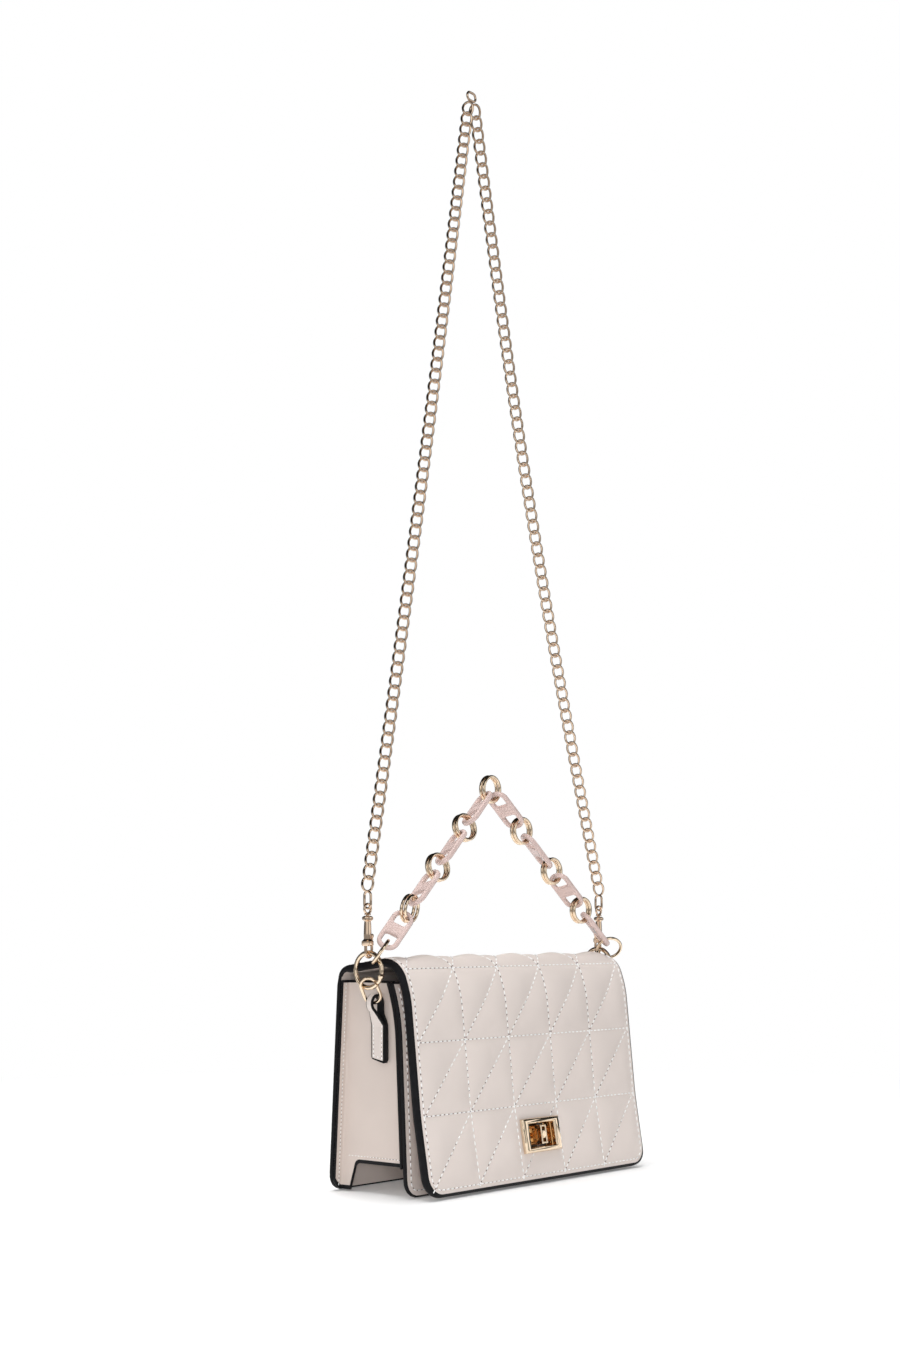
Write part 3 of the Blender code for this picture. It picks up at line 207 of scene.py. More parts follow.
class Nodes(Graph):
    """A material's node tree, with its textures laid on the piece's own coordinates."""

    def __init__(self, name):
        self.material = bpy.data.materials.new(name)
        self.material.use_nodes = True
        super().__init__(self.material.node_tree)
        self.shader = self.tree.nodes["Principled BSDF"]
        self.place = self.add("ShaderNodeTexCoord").outputs["Object"]

    def noise(self, scale, detail=3.0, roughness=0.55):
        inputs = {"Vector": self.place, "Scale": scale, "Detail": detail, "Roughness": roughness}
        return self.add("ShaderNodeTexNoise", inputs).outputs["Fac"]

    def wave(self, direction, scale, distortion=0.0):
        inputs = {"Vector": self.place, "Scale": scale, "Distortion": distortion}
        return self.add("ShaderNodeTexWave", inputs, bands_direction=direction).outputs["Fac"]

    def ramp(self, factor, low, high, low_at=0.3, high_at=0.7):
        node = self.add("ShaderNodeValToRGB", {"Fac": factor})
        ends = node.color_ramp.elements
        ends[0].position, ends[1].position = low_at, high_at
        ends[0].color, ends[1].color = (*low, 1), (*high, 1)
        return node.outputs["Color"]

    def bump(self, height, strength, distance, below=None):
        node = self.add("ShaderNodeBump", {"Height": height, "Strength": strength, "Distance": distance})
        if below is not None:
            self.feed(node, "Normal", below)
        return node.outputs["Normal"]

    def shade(self, **values):
        names = {
            "colour": "Base Color", "roughness": "Roughness", "metallic": "Metallic", "normal": "Normal",
            "sheen": "Sheen Weight", "coat": "Coat Weight", "coat_roughness": "Coat Roughness",
            "specular": "Specular IOR Level",
        }
        for key, value in values.items():
            self.feed(self.shader, names[key], value)
        return self.material


def tint(base, share):
    return tuple(min(1.0, channel * share) for channel in base)


def leather(name, base):
    """Smooth coated leather: fine pores, shallow creasing and a slight drift of colour."""
    nodes = Nodes(name)
    drift = nodes.noise(28.0, 2.0)
    pores = nodes.add("ShaderNodeTexVoronoi", {"Vector": nodes.place, "Scale": 1500.0})
    creases = nodes.noise(420.0, 4.0, 0.6)
    fine = nodes.bump(pores.outputs["Distance"], 0.16, 0.00012)
    return nodes.shade(
        colour=nodes.ramp(drift, tint(base, 0.965), tint(base, 1.02)),
        roughness=nodes.span(creases, 0.40, 0.52),
        normal=nodes.bump(creases, 0.14, 0.0003, fine),
        specular=0.42,
        sheen=0.03,
    )


def edge_paint(name, base):
    """Black paint on cut edges: satin, with the slight unevenness of a brushed coat."""
    nodes = Nodes(name)
    run = nodes.noise(300.0, 2.0)
    return nodes.shade(
        colour=nodes.ramp(run, base, tint(base, 1.5)),
        roughness=nodes.span(run, 0.30, 0.42),
        normal=nodes.bump(run, 0.15, 0.0002),
        specular=0.10,
    )


def gold(name, base):
    """Polished plating with faint waves and hairlines."""
    nodes = Nodes(name)
    wave = nodes.noise(320.0, 2.0)
    rub = nodes.noise(2600.0, 2.0)
    return nodes.shade(
        colour=nodes.ramp(wave, tint(base, 0.93), tint(base, 1.04)),
        metallic=1.0,
        roughness=nodes.span(rub, 0.04, 0.09),
        normal=nodes.bump(wave, 0.015, 0.0001),
    )


def resin(name, base):
    """Cast resin, a little cloudy inside, with a high gloss."""
    nodes = Nodes(name)
    cloud = nodes.noise(150.0, 3.0)
    return nodes.shade(
        colour=nodes.ramp(cloud, tint(base, 0.95), tint(base, 1.07), 0.35, 0.68),
        roughness=nodes.span(cloud, 0.16, 0.24),
        coat=0.4,
        coat_roughness=0.06,
        normal=nodes.bump(nodes.noise(110.0, 1.0), 0.02, 0.0006),
    )


def thread(name, base):
    """Twisted sewing thread."""
    nodes = Nodes(name)
    twist = nodes.wave("DIAGONAL", 900.0, 2.0)
    return nodes.shade(
        colour=nodes.ramp(twist, tint(base, 0.8), tint(base, 1.12)),
        roughness=0.6,
        sheen=0.2,
        normal=nodes.bump(twist, 0.4, 0.0001),
    )


def weave(name, base):
    """Dark woven lining cloth."""
    nodes = Nodes(name)
    threads = nodes.math("MULTIPLY", nodes.wave("X", 380.0), nodes.wave("Z", 380.0))
    return nodes.shade(
        colour=nodes.ramp(threads, tint(base, 0.7), tint(base, 1.8)),
        roughness=0.75,
        sheen=0.15,
        normal=nodes.bump(threads, 0.5, 0.0002),
    )


def fibreboard(name, base):
    """Matt pressed fibre, also used for the shade inside a needle hole."""
    nodes = Nodes(name)
    fibre = nodes.noise(700.0, 5.0)
    return nodes.shade(
        colour=nodes.ramp(fibre, tint(base, 0.8), tint(base, 1.15)),
        roughness=0.85,
        normal=nodes.bump(fibre, 0.3, 0.0002),
    )


FINISHES = {}


def finish_named(key):
    """The bag's finish of that name, made once."""
    if key not in FINISHES:
        hues = bpy.context.scene.bag_colours
        makers = {
            "quilted leather": (leather, hues.leather),
            "panel leather": (leather, hues.leather),
            # Leather darkened with painted shade, for the gussets and the bottom panel
            "gusset leather": (leather, hues.gusset),
            "flap lining": (leather, hues.gusset),
            "edge paint": (edge_paint, hues.edge),
            "gold plating": (gold, hues.gold),
            # Gold darkened with painted shade and warm reflection, for inside the lock's window
            "deep gold": (gold, hues.lock_shade_gold),
            # Gold darkened with painted shade and dark reflection, for the strap's metal
            "chain plating": (gold, hues.chain),
            "resin": (resin, hues.resin),
            "sewing thread": (thread, hues.thread),
            # Dark beads of painted shade for the needle holes
            "needle holes": (fibreboard, hues.needle),
            "woven lining": (weave, hues.lining),
            "fibreboard": (fibreboard, hues.board),
        }
        maker, hue = makers[key]
        FINISHES[key] = maker(key, tuple(hue))
    return FINISHES[key]


# Meshes


def shown(name, data):
    """A new object in the scene."""
    obj = bpy.data.objects.new(name, data)
    bpy.context.scene.collection.objects.link(obj)
    return obj


def dress(obj, body, slot, *nodes):
    """Puts a piece on the body it rides on and hides the nodes it replaces. The slot is not used."""
    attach(obj, body)
    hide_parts(*nodes)


def refinished(node, key):
    """Gives a CAD node that stays as it is one of the bag's finishes."""
    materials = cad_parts[node].data.materials
    materials.clear()
    materials.append(finish_named(key))


def creased(obj, degrees):
    """Keeps the edges sharp where faces meet at more than an angle."""
    obj.data.set_sharp_from_angle(angle=math.radians(degrees))
    return obj


def smoothed(mesh, weld=0.0):
    """Turns a mesh's faces outwards and shades it smooth, its points welded where they are that close."""
    bm = bmesh.new()
    bm.from_mesh(mesh)
    if weld:
        bmesh.ops.remove_doubles(bm, verts=bm.verts, dist=weld)
    bmesh.ops.recalc_face_normals(bm, faces=bm.faces)
    bm.to_mesh(mesh)
    bm.free()
    mesh.shade_smooth()


def piece(name, verts, faces, finishes, slots=None):
    """A mesh object at the origin, its faces turned outwards."""
    mesh = bpy.data.meshes.new(name)
    mesh.from_pydata([tuple(v) for v in verts], [], [tuple(int(i) for i in f) for f in faces])
    for key in finishes:
        mesh.materials.append(finish_named(key))
    if slots is not None:
        mesh.polygons.foreach_set("material_index", np.asarray(slots, dtype=np.int32))
    smoothed(mesh)
    return shown(name, mesh)


def placed(name, bm, place, key):
    """A shape built at the origin, as a mesh object of one finish at its place."""
    bmesh.ops.transform(bm, matrix=place, verts=bm.verts)
    bmesh.ops.recalc_face_normals(bm, faces=bm.faces)
    mesh = bpy.data.meshes.new(name)
    bm.to_mesh(mesh)
    bm.free()
    mesh.materials.append(finish_named(key))
    return shown(name, mesh)


def settle(obj):
    """Turns an object's evaluated shape into its own plain mesh at the origin."""
    bpy.context.view_layer.update()
    graph = bpy.context.evaluated_depsgraph_get()
    mesh = bpy.data.meshes.new_from_object(obj.evaluated_get(graph))
    mesh.transform(obj.matrix_world)
    name = obj.name
    bpy.data.objects.remove(obj, do_unlink=True)
    mesh.name = name
    return shown(name, mesh)


def joined(name, objects):
    """Several meshes as one piece."""
    bm = bmesh.new()
    materials = []
    for obj in objects:
        count = len(bm.faces)
        bm.from_mesh(obj.data)
        bm.faces.ensure_lookup_table()
        for face in list(bm.faces)[count:]:
            own = obj.data.materials[face.material_index]
            if own not in materials:
                materials.append(own)
            face.material_index = materials.index(own)
        bpy.data.objects.remove(obj, do_unlink=True)
    mesh = bpy.data.meshes.new(name)
    bm.to_mesh(mesh)
    bm.free()
    for own in materials:
        mesh.materials.append(own)
    return shown(name, mesh)


def strand(data, points):
    """Adds an open run of straight steps to a curve."""
    spline = data.splines.new("POLY")
    spline.points.add(len(points) - 1)
    for knot, place in zip(spline.points, points):
        knot.co = (*place, 1)
    return spline


def wire(name, points, radius, closed=False, key="gold plating", radii=None, sides=5):
    """A round wire through the points, as a mesh with closed ends."""
    data = bpy.data.curves.new(name, "CURVE")
    data.dimensions = "3D"
    data.bevel_depth = radius
    data.bevel_resolution = sides
    data.use_fill_caps = not closed
    spline = strand(data, points)
    spline.use_cyclic_u = closed
    for knot, thickening in zip(spline.points, radii or ()):
        knot.radius = thickening
    data.materials.append(finish_named(key))
    obj = settle(shown(name, data))
    smoothed(obj.data, weld=0.000005)
    return creased(obj, 50)


def grid_faces(index, closed=False):
    """The four-cornered faces of a grid of point numbers, whose rows may each close to a loop."""
    if closed:
        index = np.column_stack((index, index[:, 0]))
    corners = (index[:-1, :-1], index[:-1, 1:], index[1:, 1:], index[1:, :-1])
    return np.stack(corners, axis=-1).reshape(-1, 4).tolist()


def turned(name, profile, matrix, steps, key="gold plating"):
    """A turned shape: (radius, height) pairs from foot to top, closed on its axis."""
    verts = []
    for radius, height in profile:
        for step in range(steps):
            angle = 2 * math.pi * step / steps
            verts.append(matrix @ Vector((radius * math.cos(angle), radius * math.sin(angle), height)))
    index = np.arange(len(verts)).reshape(len(profile), steps)
    faces = [*grid_faces(index, closed=True), index[0], index[-1]]
    return creased(piece(name, verts, faces, [key]), 40)


def block(name, size, matrix, bevel, segments=3, key="gold plating"):
    """A box with rounded edges."""
    bm = bmesh.new()
    bmesh.ops.create_cube(bm, size=1)
    bmesh.ops.transform(bm, matrix=Matrix.Diagonal((*size, 1)), verts=bm.verts)
    edges = list(bm.edges)
    bmesh.ops.bevel(bm, geom=edges, offset=bevel, segments=segments, profile=0.5, affect="EDGES")
    obj = placed(name, bm, matrix, key)
    obj.data.shade_smooth()
    return creased(obj, 35)


# Side view lines


def arc(before, corner, after, radius, steps):
    """Points of the arc that rounds a corner."""
    before, corner, after = (np.array(point, float) for point in (before, corner, after))
    back = (before - corner) / np.linalg.norm(before - corner)
    ahead = (after - corner) / np.linalg.norm(after - corner)
    half = math.acos(float(np.clip(back @ ahead, -1, 1))) / 2
    middle = back + ahead
    centre = corner + middle / np.linalg.norm(middle) * radius / math.sin(half)
    start = corner + back * radius / math.tan(half) - centre
    end = corner + ahead * radius / math.tan(half) - centre
    sweep = math.atan2(start[0] * end[1] - start[1] * end[0], float(start @ end))
    points = []
    for step in range(steps + 1):
        turn = sweep * step / steps
        spin = np.array(((math.cos(turn), -math.sin(turn)), (math.sin(turn), math.cos(turn))))
        points.append(centre + spin @ start)
    return points


class Line:
    """A line in the side view that can be asked for its place and outward direction at any length."""

    def __init__(self, points):
        points = np.array(points, float)
        steps = np.linalg.norm(np.diff(points, axis=0), axis=1)
        keep = np.concatenate(([True], steps > 1e-7))
        self.points = points[keep]
        self.at = np.concatenate(([0.0], np.cumsum(np.linalg.norm(np.diff(self.points, axis=0), axis=1))))
        self.length = self.at[-1]
        runs = np.diff(self.points, axis=0)
        runs /= np.linalg.norm(runs, axis=1)[:, None]
        outs = np.stack((runs[:, 1], -runs[:, 0]), axis=1)
        ends = np.vstack((outs[:1], outs, outs[-1:]))
        mean = ends[:-1] + ends[1:]
        self.outs = mean / np.linalg.norm(mean, axis=1)[:, None]

    def place(self, s):
        return np.stack([np.interp(s, self.at, self.points[:, k]) for k in (0, 1)], axis=-1)

    def out(self, s):
        found = np.stack([np.interp(s, self.at, self.outs[:, k]) for k in (0, 1)], axis=-1)
        return found / np.linalg.norm(found, axis=-1)[..., None]

    def where(self, height):
        """The length at which the line last crosses a height."""
        z = self.points[:, 1] - height
        index = np.nonzero(np.sign(z[:-1]) != np.sign(z[1:]))[0][-1]
        share = z[index] / (z[index] - z[index + 1])
        return self.at[index] + share * (self.at[index + 1] - self.at[index])

    def point(self, x, s, lift=0.0):
        """The 3-D point at a width, a length and a distance outside the line."""
        x, s = np.broadcast_arrays(np.asarray(x, float), np.asarray(s, float))
        flat = self.place(s) + self.out(s) * np.asarray(lift)[..., None]
        return np.stack((x, flat[..., 0], flat[..., 1]), axis=-1)


def back_fold():
    return arc(BACK_FOOT, BACK_TOP, FRONT_TOP, BACK_FOLD_RADIUS, 14)


def flap_line():
    """Back fold, top, soft front fold and shoulder, and the hanging flap that flares a little at its foot."""
    fold = arc(BACK_TOP, FRONT_TOP, FLAP_SHOULDER, FRONT_FOLD_RADIUS, 20)
    shoulder = arc(FRONT_TOP, FLAP_SHOULDER, FLAP_HOLLOW, SHOULDER_RADIUS, 12)
    flare = arc(FLAP_SHOULDER, FLAP_HOLLOW, FLAP_FOOT, HOLLOW_RADIUS, 8)
    return Line([*back_fold(), *fold, *shoulder, *flare, FLAP_FOOT])


def back_line():
    """The back panel up to where it is sewn under the fold."""
    return Line([BACK_FOOT, *back_fold()[:5]])


def front_line():
    """The front panel from its curled top edge down to its foot."""
    bend, foot = np.array(FRONT_BEND), np.array(FRONT_FOOT)
    lean = math.atan2(bend[0] - foot[0], bend[1] - foot[1])
    centre = bend + FRONT_CURL_RADIUS * np.array((math.cos(lean), -math.sin(lean)))
    curl = []
    for step in range(13):
        angle = math.pi - lean - FRONT_CURL_LENGTH / FRONT_CURL_RADIUS * step / 12
        curl.append(centre + FRONT_CURL_RADIUS * np.array((math.cos(angle), math.sin(angle))))
    return Line([*reversed(curl), foot])


# Leather sheets


def softened_corners(x, s, radius, start, end):
    """Moves a grid's corner squares onto rounded corners."""
    half = np.abs(x).max()
    dx = np.abs(x) - (half - radius)
    for wanted, edge, sign in ((end, s.max() - radius, 1), (start, s.min() + radius, -1)):
        if not wanted:
            continue
        depth = sign * (s - edge)
        inside = (dx > 0) & (depth > 0)
        reach = np.maximum(dx, depth)
        flat = np.hypot(dx, depth)
        flat[flat == 0] = 1
        x = np.where(inside, np.sign(x) * (half - radius + dx / flat * reach), x)
        s = np.where(inside, edge + sign * depth / flat * reach, s)
    return x, s


def border(rows, columns):
    """Grid places round the edge, and the place one step in from each."""
    loop = [(0, j) for j in range(columns)]
    loop += [(i, columns - 1) for i in range(1, rows)]
    loop += [(rows - 1, j) for j in range(columns - 2, -1, -1)]
    loop += [(i, 0) for i in range(rows - 2, 0, -1)]
    inner = [(min(max(i, 1), rows - 2), min(max(j, 1), columns - 2)) for i, j in loop]
    return loop, inner


def sheet_shell(name, outer, inner, finishes, bulge=0.0005, hole=None, plain=()):
    """A closed sheet from outer and inner grids of points, its rounded edge painted except on plain rows."""
    rows, columns = outer.shape[:2]
    size = rows * columns
    index = np.arange(size).reshape(rows, columns)
    verts = [*outer.reshape(-1, 3), *inner.reshape(-1, 3)]
    painted = np.zeros((rows - 1, columns - 1), bool)
    painted[:, (0, -1)] = True
    painted[[row for row in (0, rows - 2) if row not in plain]] = True
    whole = np.ones_like(painted)
    if hole:
        whole[hole[0]:hole[1], hole[2]:hole[3]] = False
    outside = np.array(grid_faces(index))[whole.reshape(-1)]
    faces = [*outside, *(outside + size)]
    slots = [*np.where(painted[whole], 1, 0), *np.where(painted[whole], 1, 2)]
    loop, near = border(rows, columns)
    rings = [[index[place] for place in loop]]
    for share in (0.25, 0.5, 0.75):
        ring = []
        for place, step in zip(loop, near):
            away = outer[place] - outer[step]
            away = away / max(np.linalg.norm(away), 1e-9)
            swell = bulge * math.sin(math.pi * share)
            ring.append(len(verts))
            verts.append(outer[place] * (1 - share) + inner[place] * share + away * swell)
        rings.append(ring)
    rings.append([index[place] + size for place in loop])
    faces += grid_faces(np.array(rings), closed=True)
    along_row = [here[0] == following[0] for here, following in zip(loop, [*loop[1:], loop[0]])]
    bare = [flat and min(here[0], rows - 2) in plain for here, flat in zip(loop, along_row)]
    slots += [0 if unpainted else 1 for unpainted in bare] * (len(rings) - 1)
    if hole:
        i0, i1, j0, j1 = hole
        ring = [(i0, j) for j in range(j0, j1)] + [(i, j1) for i in range(i0, i1)]
        ring += [(i1, j) for j in range(j1, j0, -1)] + [(i, j0) for i in range(i1, i0, -1)]
        window = np.array([index[place] for place in ring])
        faces += grid_faces(np.stack((window, window + size)), closed=True)
        slots += [1] * len(ring)
    return piece(name, verts, faces, finishes, slots)


def eased(share):
    """A share from 0 to 1 that starts and ends softly."""
    share = np.clip(share, 0, 1)
    return share * share * (3 - 2 * share)


def spaced(low, high, count, rim=0.0009):
    """Even steps with one narrow step at each end, for the paint that wraps the edge."""
    return np.concatenate(([low], np.linspace(low + rim, high - rim, count), [high]))


def panel(name, line, width, thickness, start, end):
    """A plain panel with painted edges, rounded at the line's start or end. The back's top is tucked in."""
    key, inset, crown, slope, tuck = "panel leather", 0.0004, 0.00025, 0.006, 0.0009
    xs = spaced(-width / 2 + inset, width / 2 - inset, 60)
    ss = spaced(inset if start else 0.0, line.length - (inset if end else 0.0), 40)
    x, s = np.meshgrid(xs, ss)
    x, s = softened_corners(x, s, PANEL_CORNER, start, end)
    rim = np.minimum(width / 2 - np.abs(x), np.minimum(s, line.length - s))
    lift = crown * np.minimum(1, rim / slope)
    if start and not end:
        lift = lift - tuck * np.clip((s - line.length + slope) / (slope / 2), 0, 1)
    inner = line.point(x, s, -thickness)
    return sheet_shell(name, line.point(x, s, lift), inner, [key, "edge paint", key], bulge=0.0004)


# Quilted flap


class Quilt:
    """The grid, seams and padding of the flap's quilting, in widths and lengths along the flap's line."""

    COARSE = 20
    FINE = 40
    FIRST_ROW_HEIGHT = 0.139
    SECOND_ROW_HEIGHT = 0.0945

    def __init__(self, sizes):
        self.sizes = sizes
        self.line = flap_line()
        self.half = sizes.width / 2
        first = self.line.where(self.FIRST_ROW_HEIGHT)
        second = self.line.where(self.SECOND_ROW_HEIGHT)
        bottom = self.line.length - sizes.edge_seam
        self.rows = [first - sizes.row, first, second, second + sizes.row, bottom]
        self.columns = [sizes.cell * (k - 2.5) for k in range(6)]

    def cells(self):
        """The (left, right, high, low) edges of every quilted square."""
        for left, right in zip(self.columns[:-1], self.columns[1:]):
            for high, low in zip(self.rows[:-1], self.rows[1:]):
                yield left, right, high, low

    def grid(self, split):
        """Steps across and along, closer together than the padding's folds, with every seam on a step."""
        inset = 0.0005
        edge = self.half - inset
        side = [-edge, -edge + 0.0015, -edge + 0.0030]
        xs = [*side, *self.between(self.columns, split), *(-value for value in reversed(side))]
        start = [0.0, 0.0010, 0.0026, self.sizes.edge_seam]
        ss = start + list(np.linspace(self.sizes.edge_seam, self.rows[0], 7)[1:-1])
        end = self.line.length - inset
        ss += [*self.between(self.rows, split), end - 0.0030, end - 0.0015, end]
        return np.array(xs), np.array(ss)

    @staticmethod
    def between(seams, split):
        """The seams with even steps between them."""
        steps = []
        for a, b in zip(seams[:-1], seams[1:]):
            steps += list(np.linspace(a, b, split + 1)[:-1])
        return [*steps, seams[-1]]

    def seam_distance(self, x, s):
        """Distance to the nearest seam of the quilting, and 0 outside it."""
        gap = np.full(x.shape, 1.0)
        for column in self.columns:
            gap = np.minimum(gap, np.abs(x - column))
        for row in [self.sizes.edge_seam, *self.rows]:
            gap = np.minimum(gap, np.abs(s - row))
        for left, right, high, low in self.cells():
            a, b = np.array((left, low)), np.array((right, high))
            run = (b - a) / np.linalg.norm(b - a)
            inside = (x >= left - 1e-6) & (x <= right + 1e-6) & (s >= high - 1e-6) & (s <= low + 1e-6)
            off = np.abs((x - a[0]) * run[1] - (s - a[1]) * run[0])
            gap = np.where(inside, np.minimum(gap, off), gap)
        outside = (np.abs(x) > self.columns[-1]) | (s > self.rows[-1]) | (s < self.sizes.edge_seam)
        return np.where(outside, 0.0, gap)

    def lock_cover(self, x, s):
        """1 away from the lock's frame, falling to 0 under it."""
        centre, half_height, fade = self.line.where(LOCK_HEIGHT), 0.0115, 0.005
        clear = np.maximum(np.abs(x) - LOCK_HALF_WIDTH, np.abs(s - centre) - half_height)
        return np.clip(clear / fade, 0, 1)

    def seams(self):
        """Each stitched run as a list of (width, length) points."""
        runs = []
        for row in self.rows[:-1]:
            runs.append([(self.columns[0], row), (self.columns[-1], row)])
        for column in self.columns[1:-1]:
            runs.append([(column, self.rows[0]), (column, self.rows[-1])])
        return runs + [[(left, low), (right, high)] for left, right, high, low in self.cells()]

    def edge_run(self):
        """The stitching round the flap's edge, with its rounded lower corners."""
        inset = self.sizes.edge_seam
        x, end = self.half - inset, self.line.length - inset
        radius = self.sizes.corner - inset
        points = [(-x, inset), (-x, end - radius)]
        for step in range(1, 9):
            angle = math.pi / 2 * step / 8
            points.append((-x + radius * (1 - math.cos(angle)), end - radius + radius * math.sin(angle)))
        points += [(-a, b) for a, b in reversed(points)]
        return points


def calmed(field, fixed):
    """A field drawn towards its neighbours' mean five times, except where it is fixed."""
    for _ in range(5):
        calm = field.copy()
        calm[1:-1, 1:-1] = (field[:-2, 1:-1] + field[2:, 1:-1] + field[1:-1, :-2] + field[1:-1, 2:]) / 4
        field = np.where(fixed, field, (field + calm) / 2)
    return field


def carried(field, xs, ss, fine_xs, fine_ss):
    """A field on one grid, read in straight lines onto a finer one."""
    wide = np.stack([np.interp(fine_xs, xs, row) for row in field])
    return np.stack([np.interp(fine_ss, ss, column) for column in wide.T], axis=1)


def inflated(x, s, held):
    """How far the leather moves at each grid point when it is blown up between the points that are held."""
    scale, frames = 10.0, 25
    rows, columns = x.shape
    verts = np.stack((x * scale, -s * scale, np.zeros_like(x)), axis=-1).reshape(-1, 3)
    index = np.arange(rows * columns).reshape(rows, columns)
    faces = np.stack((index[:-1, :-1], index[1:, :-1], index[1:, 1:], index[:-1, 1:]), axis=-1).reshape(-1, 4)
    mesh = bpy.data.meshes.new("padding")
    mesh.from_pydata(verts.tolist(), [], faces.tolist())
    cloth = shown("padding", mesh)
    cloth.vertex_groups.new(name="sewn").add(np.nonzero(held.reshape(-1))[0].tolist(), 1.0, "REPLACE")
    modifier = cloth.modifiers.new("cloth", "CLOTH")
    settings = modifier.settings
    settings.quality = 6
    settings.mass = 0.25
    settings.tension_stiffness = 12
    settings.compression_stiffness = 12
    settings.shear_stiffness = 6
    settings.bending_stiffness = 0.35
    settings.air_damping = 4
    settings.shrink_min = -0.045
    settings.use_pressure = True
    settings.uniform_pressure_force = 9
    settings.vertex_group_mass = "sewn"
    settings.pin_stiffness = 1
    settings.effector_weights.gravity = 0
    modifier.collision_settings.use_collision = False
    modifier.collision_settings.use_self_collision = False
    scene = bpy.context.scene
    for number in range(1, frames + 1):
        scene.frame_set(number)
    graph = bpy.context.evaluated_depsgraph_get()
    found = cloth.evaluated_get(graph).to_mesh()
    moved = np.array([v.co for v in found.vertices], float)
    shift = (moved - verts).reshape(rows, columns, 3) / scale
    scene.frame_set(1)
    bpy.data.objects.remove(cloth, do_unlink=True)
    return shift


def padding(quilt, xs, ss, fine_xs, fine_ss):
    """Heights and sideways shifts of the padded leather, from a cloth simulation between the sewn seams."""
    puff, limit, seam_slope, dome = quilt.sizes.puff, 0.0012, 0.0021, 0.011
    fine_x, fine_s = np.meshgrid(fine_xs, fine_ss)
    near = quilt.seam_distance(fine_x, fine_s)
    sunk = np.clip(near / seam_slope, 0, 1) ** 0.45
    x, s = np.meshgrid(xs, ss)
    on_seam = quilt.seam_distance(x, s) < 0.0004
    cover = quilt.lock_cover(x, s)
    shift = inflated(x, s, on_seam | (cover < 0.02))
    tall = np.percentile(np.abs(shift[..., 2]), 97)
    print("padding simulated: height", round(tall * 1000, 2), "mm before it is set to the puff")
    gain = puff / max(tall, 1e-6)
    fields = [np.clip(np.abs(shift[..., 2]) * gain, 0, puff * 1.25) * cover]
    for sideways in (shift[..., 0], -shift[..., 1]):
        fields.append(np.clip(sideways * min(gain, 1.0), -limit, limit) * cover)
    return [carried(calmed(field, on_seam), xs, ss, fine_xs, fine_ss) * sunk for field in fields]


def lock_hole(quilt, xs, ss):
    """The grid steps round the turn lock's window, and the exact edges that they are set to."""
    centre = quilt.line.where(LOCK_HEIGHT)
    across, along = 0.0148, 0.0090
    edges = (centre - along, centre + along, -across, across)
    steps = [int(np.abs(values - edge).argmin()) for values, edge in zip((ss, ss, xs, xs), edges)]
    return steps, edges


class BAG_OT_quilted_flap(bpy.types.Operator):
    """Makes the padded flap and top as one quilted sheet that bends at the front fold"""

    bl_idname = "bag.quilted_flap"
    bl_label = "Quilted flap"

    def execute(self, context):
        sizes = context.scene.bag_sizes
        quilt = Quilt(sizes)
        xs, ss = quilt.grid(quilt.FINE)
        x, s = np.meshgrid(xs, ss)
        rise, side, along = padding(quilt, *quilt.grid(quilt.COARSE), xs, ss)
        x, s = softened_corners(x + side, s + along, sizes.corner, False, True)
        hole, edges = lock_hole(quilt, xs, ss)
        i0, i1, j0, j1 = hole
        s[i0, j0:j1 + 1], s[i1, j0:j1 + 1] = edges[:2]
        x[i0:i1 + 1, j0], x[i0:i1 + 1, j1] = edges[2:]
        rim = np.minimum(quilt.half - np.abs(x), quilt.line.length - s)
        roll_depth, roll_width, padding_start = 0.0009, 0.0028, 0.018
        roll = -roll_depth * np.clip(1 - rim / roll_width, 0, 1) ** 2
        outer = quilt.line.point(x, s, rise + roll)
        padded_share = eased(s / padding_start)
        thick = sizes.panel_thickness + (sizes.flap_thickness - sizes.panel_thickness) * padded_share
        inner = quilt.line.point(x, s, -thick)
        finishes = ["quilted leather", "edge paint", "flap lining"]
        flap = sheet_shell("quilted_flap", outer, inner, finishes, bulge=0.0006, hole=hole, plain=(0,))
        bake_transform(flap)
        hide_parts("flap_top", "flap_front", "flap_lining")
        return {"FINISHED"}


class BAG_OT_panels(bpy.types.Operator):
    """Makes the back, front and bottom panels"""

    bl_idname = "bag.panels"
    bl_label = "Panels"

    def execute(self, context):
        sizes = context.scene.bag_sizes
        thickness = sizes.panel_thickness
        back = panel("back_leather", back_line(), sizes.width, thickness, start=True, end=False)
        dress(back, "bag", "leather", "back_panel")
        width = sizes.width - FRONT_NARROWER
        front = panel("front_leather", front_line(), width, thickness, start=False, end=True)
        dress(front, "bag", "leather", "front_panel")
        low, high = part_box("bottom_panel")
        middle, size = (low + high) / 2, high - low
        # The bottom panel's darker leather is painted shade
        base = block("bottom_leather", size, Matrix.Translation(middle), 0.0007, 2, "gusset leather")
        dress(base, "bag", "leather_shade", "bottom_panel")
        for node in ("front_board", "back_board", "bottom_board"):
            refinished(node, "fibreboard")
        return {"FINISHED"}


def inner_edges(z, sizes):
    """The inner faces of the front and back panels at a height."""
    found = []
    for line in (front_line(), back_line()):
        s = np.linspace(0, line.length, 80)
        points = line.point(0.0, s, -sizes.panel_thickness)
        order = np.argsort(points[:, 2])
        found.append(float(np.interp(z, points[order, 2], points[order, 1])))
    return found[0] + GAP, found[1] - GAP


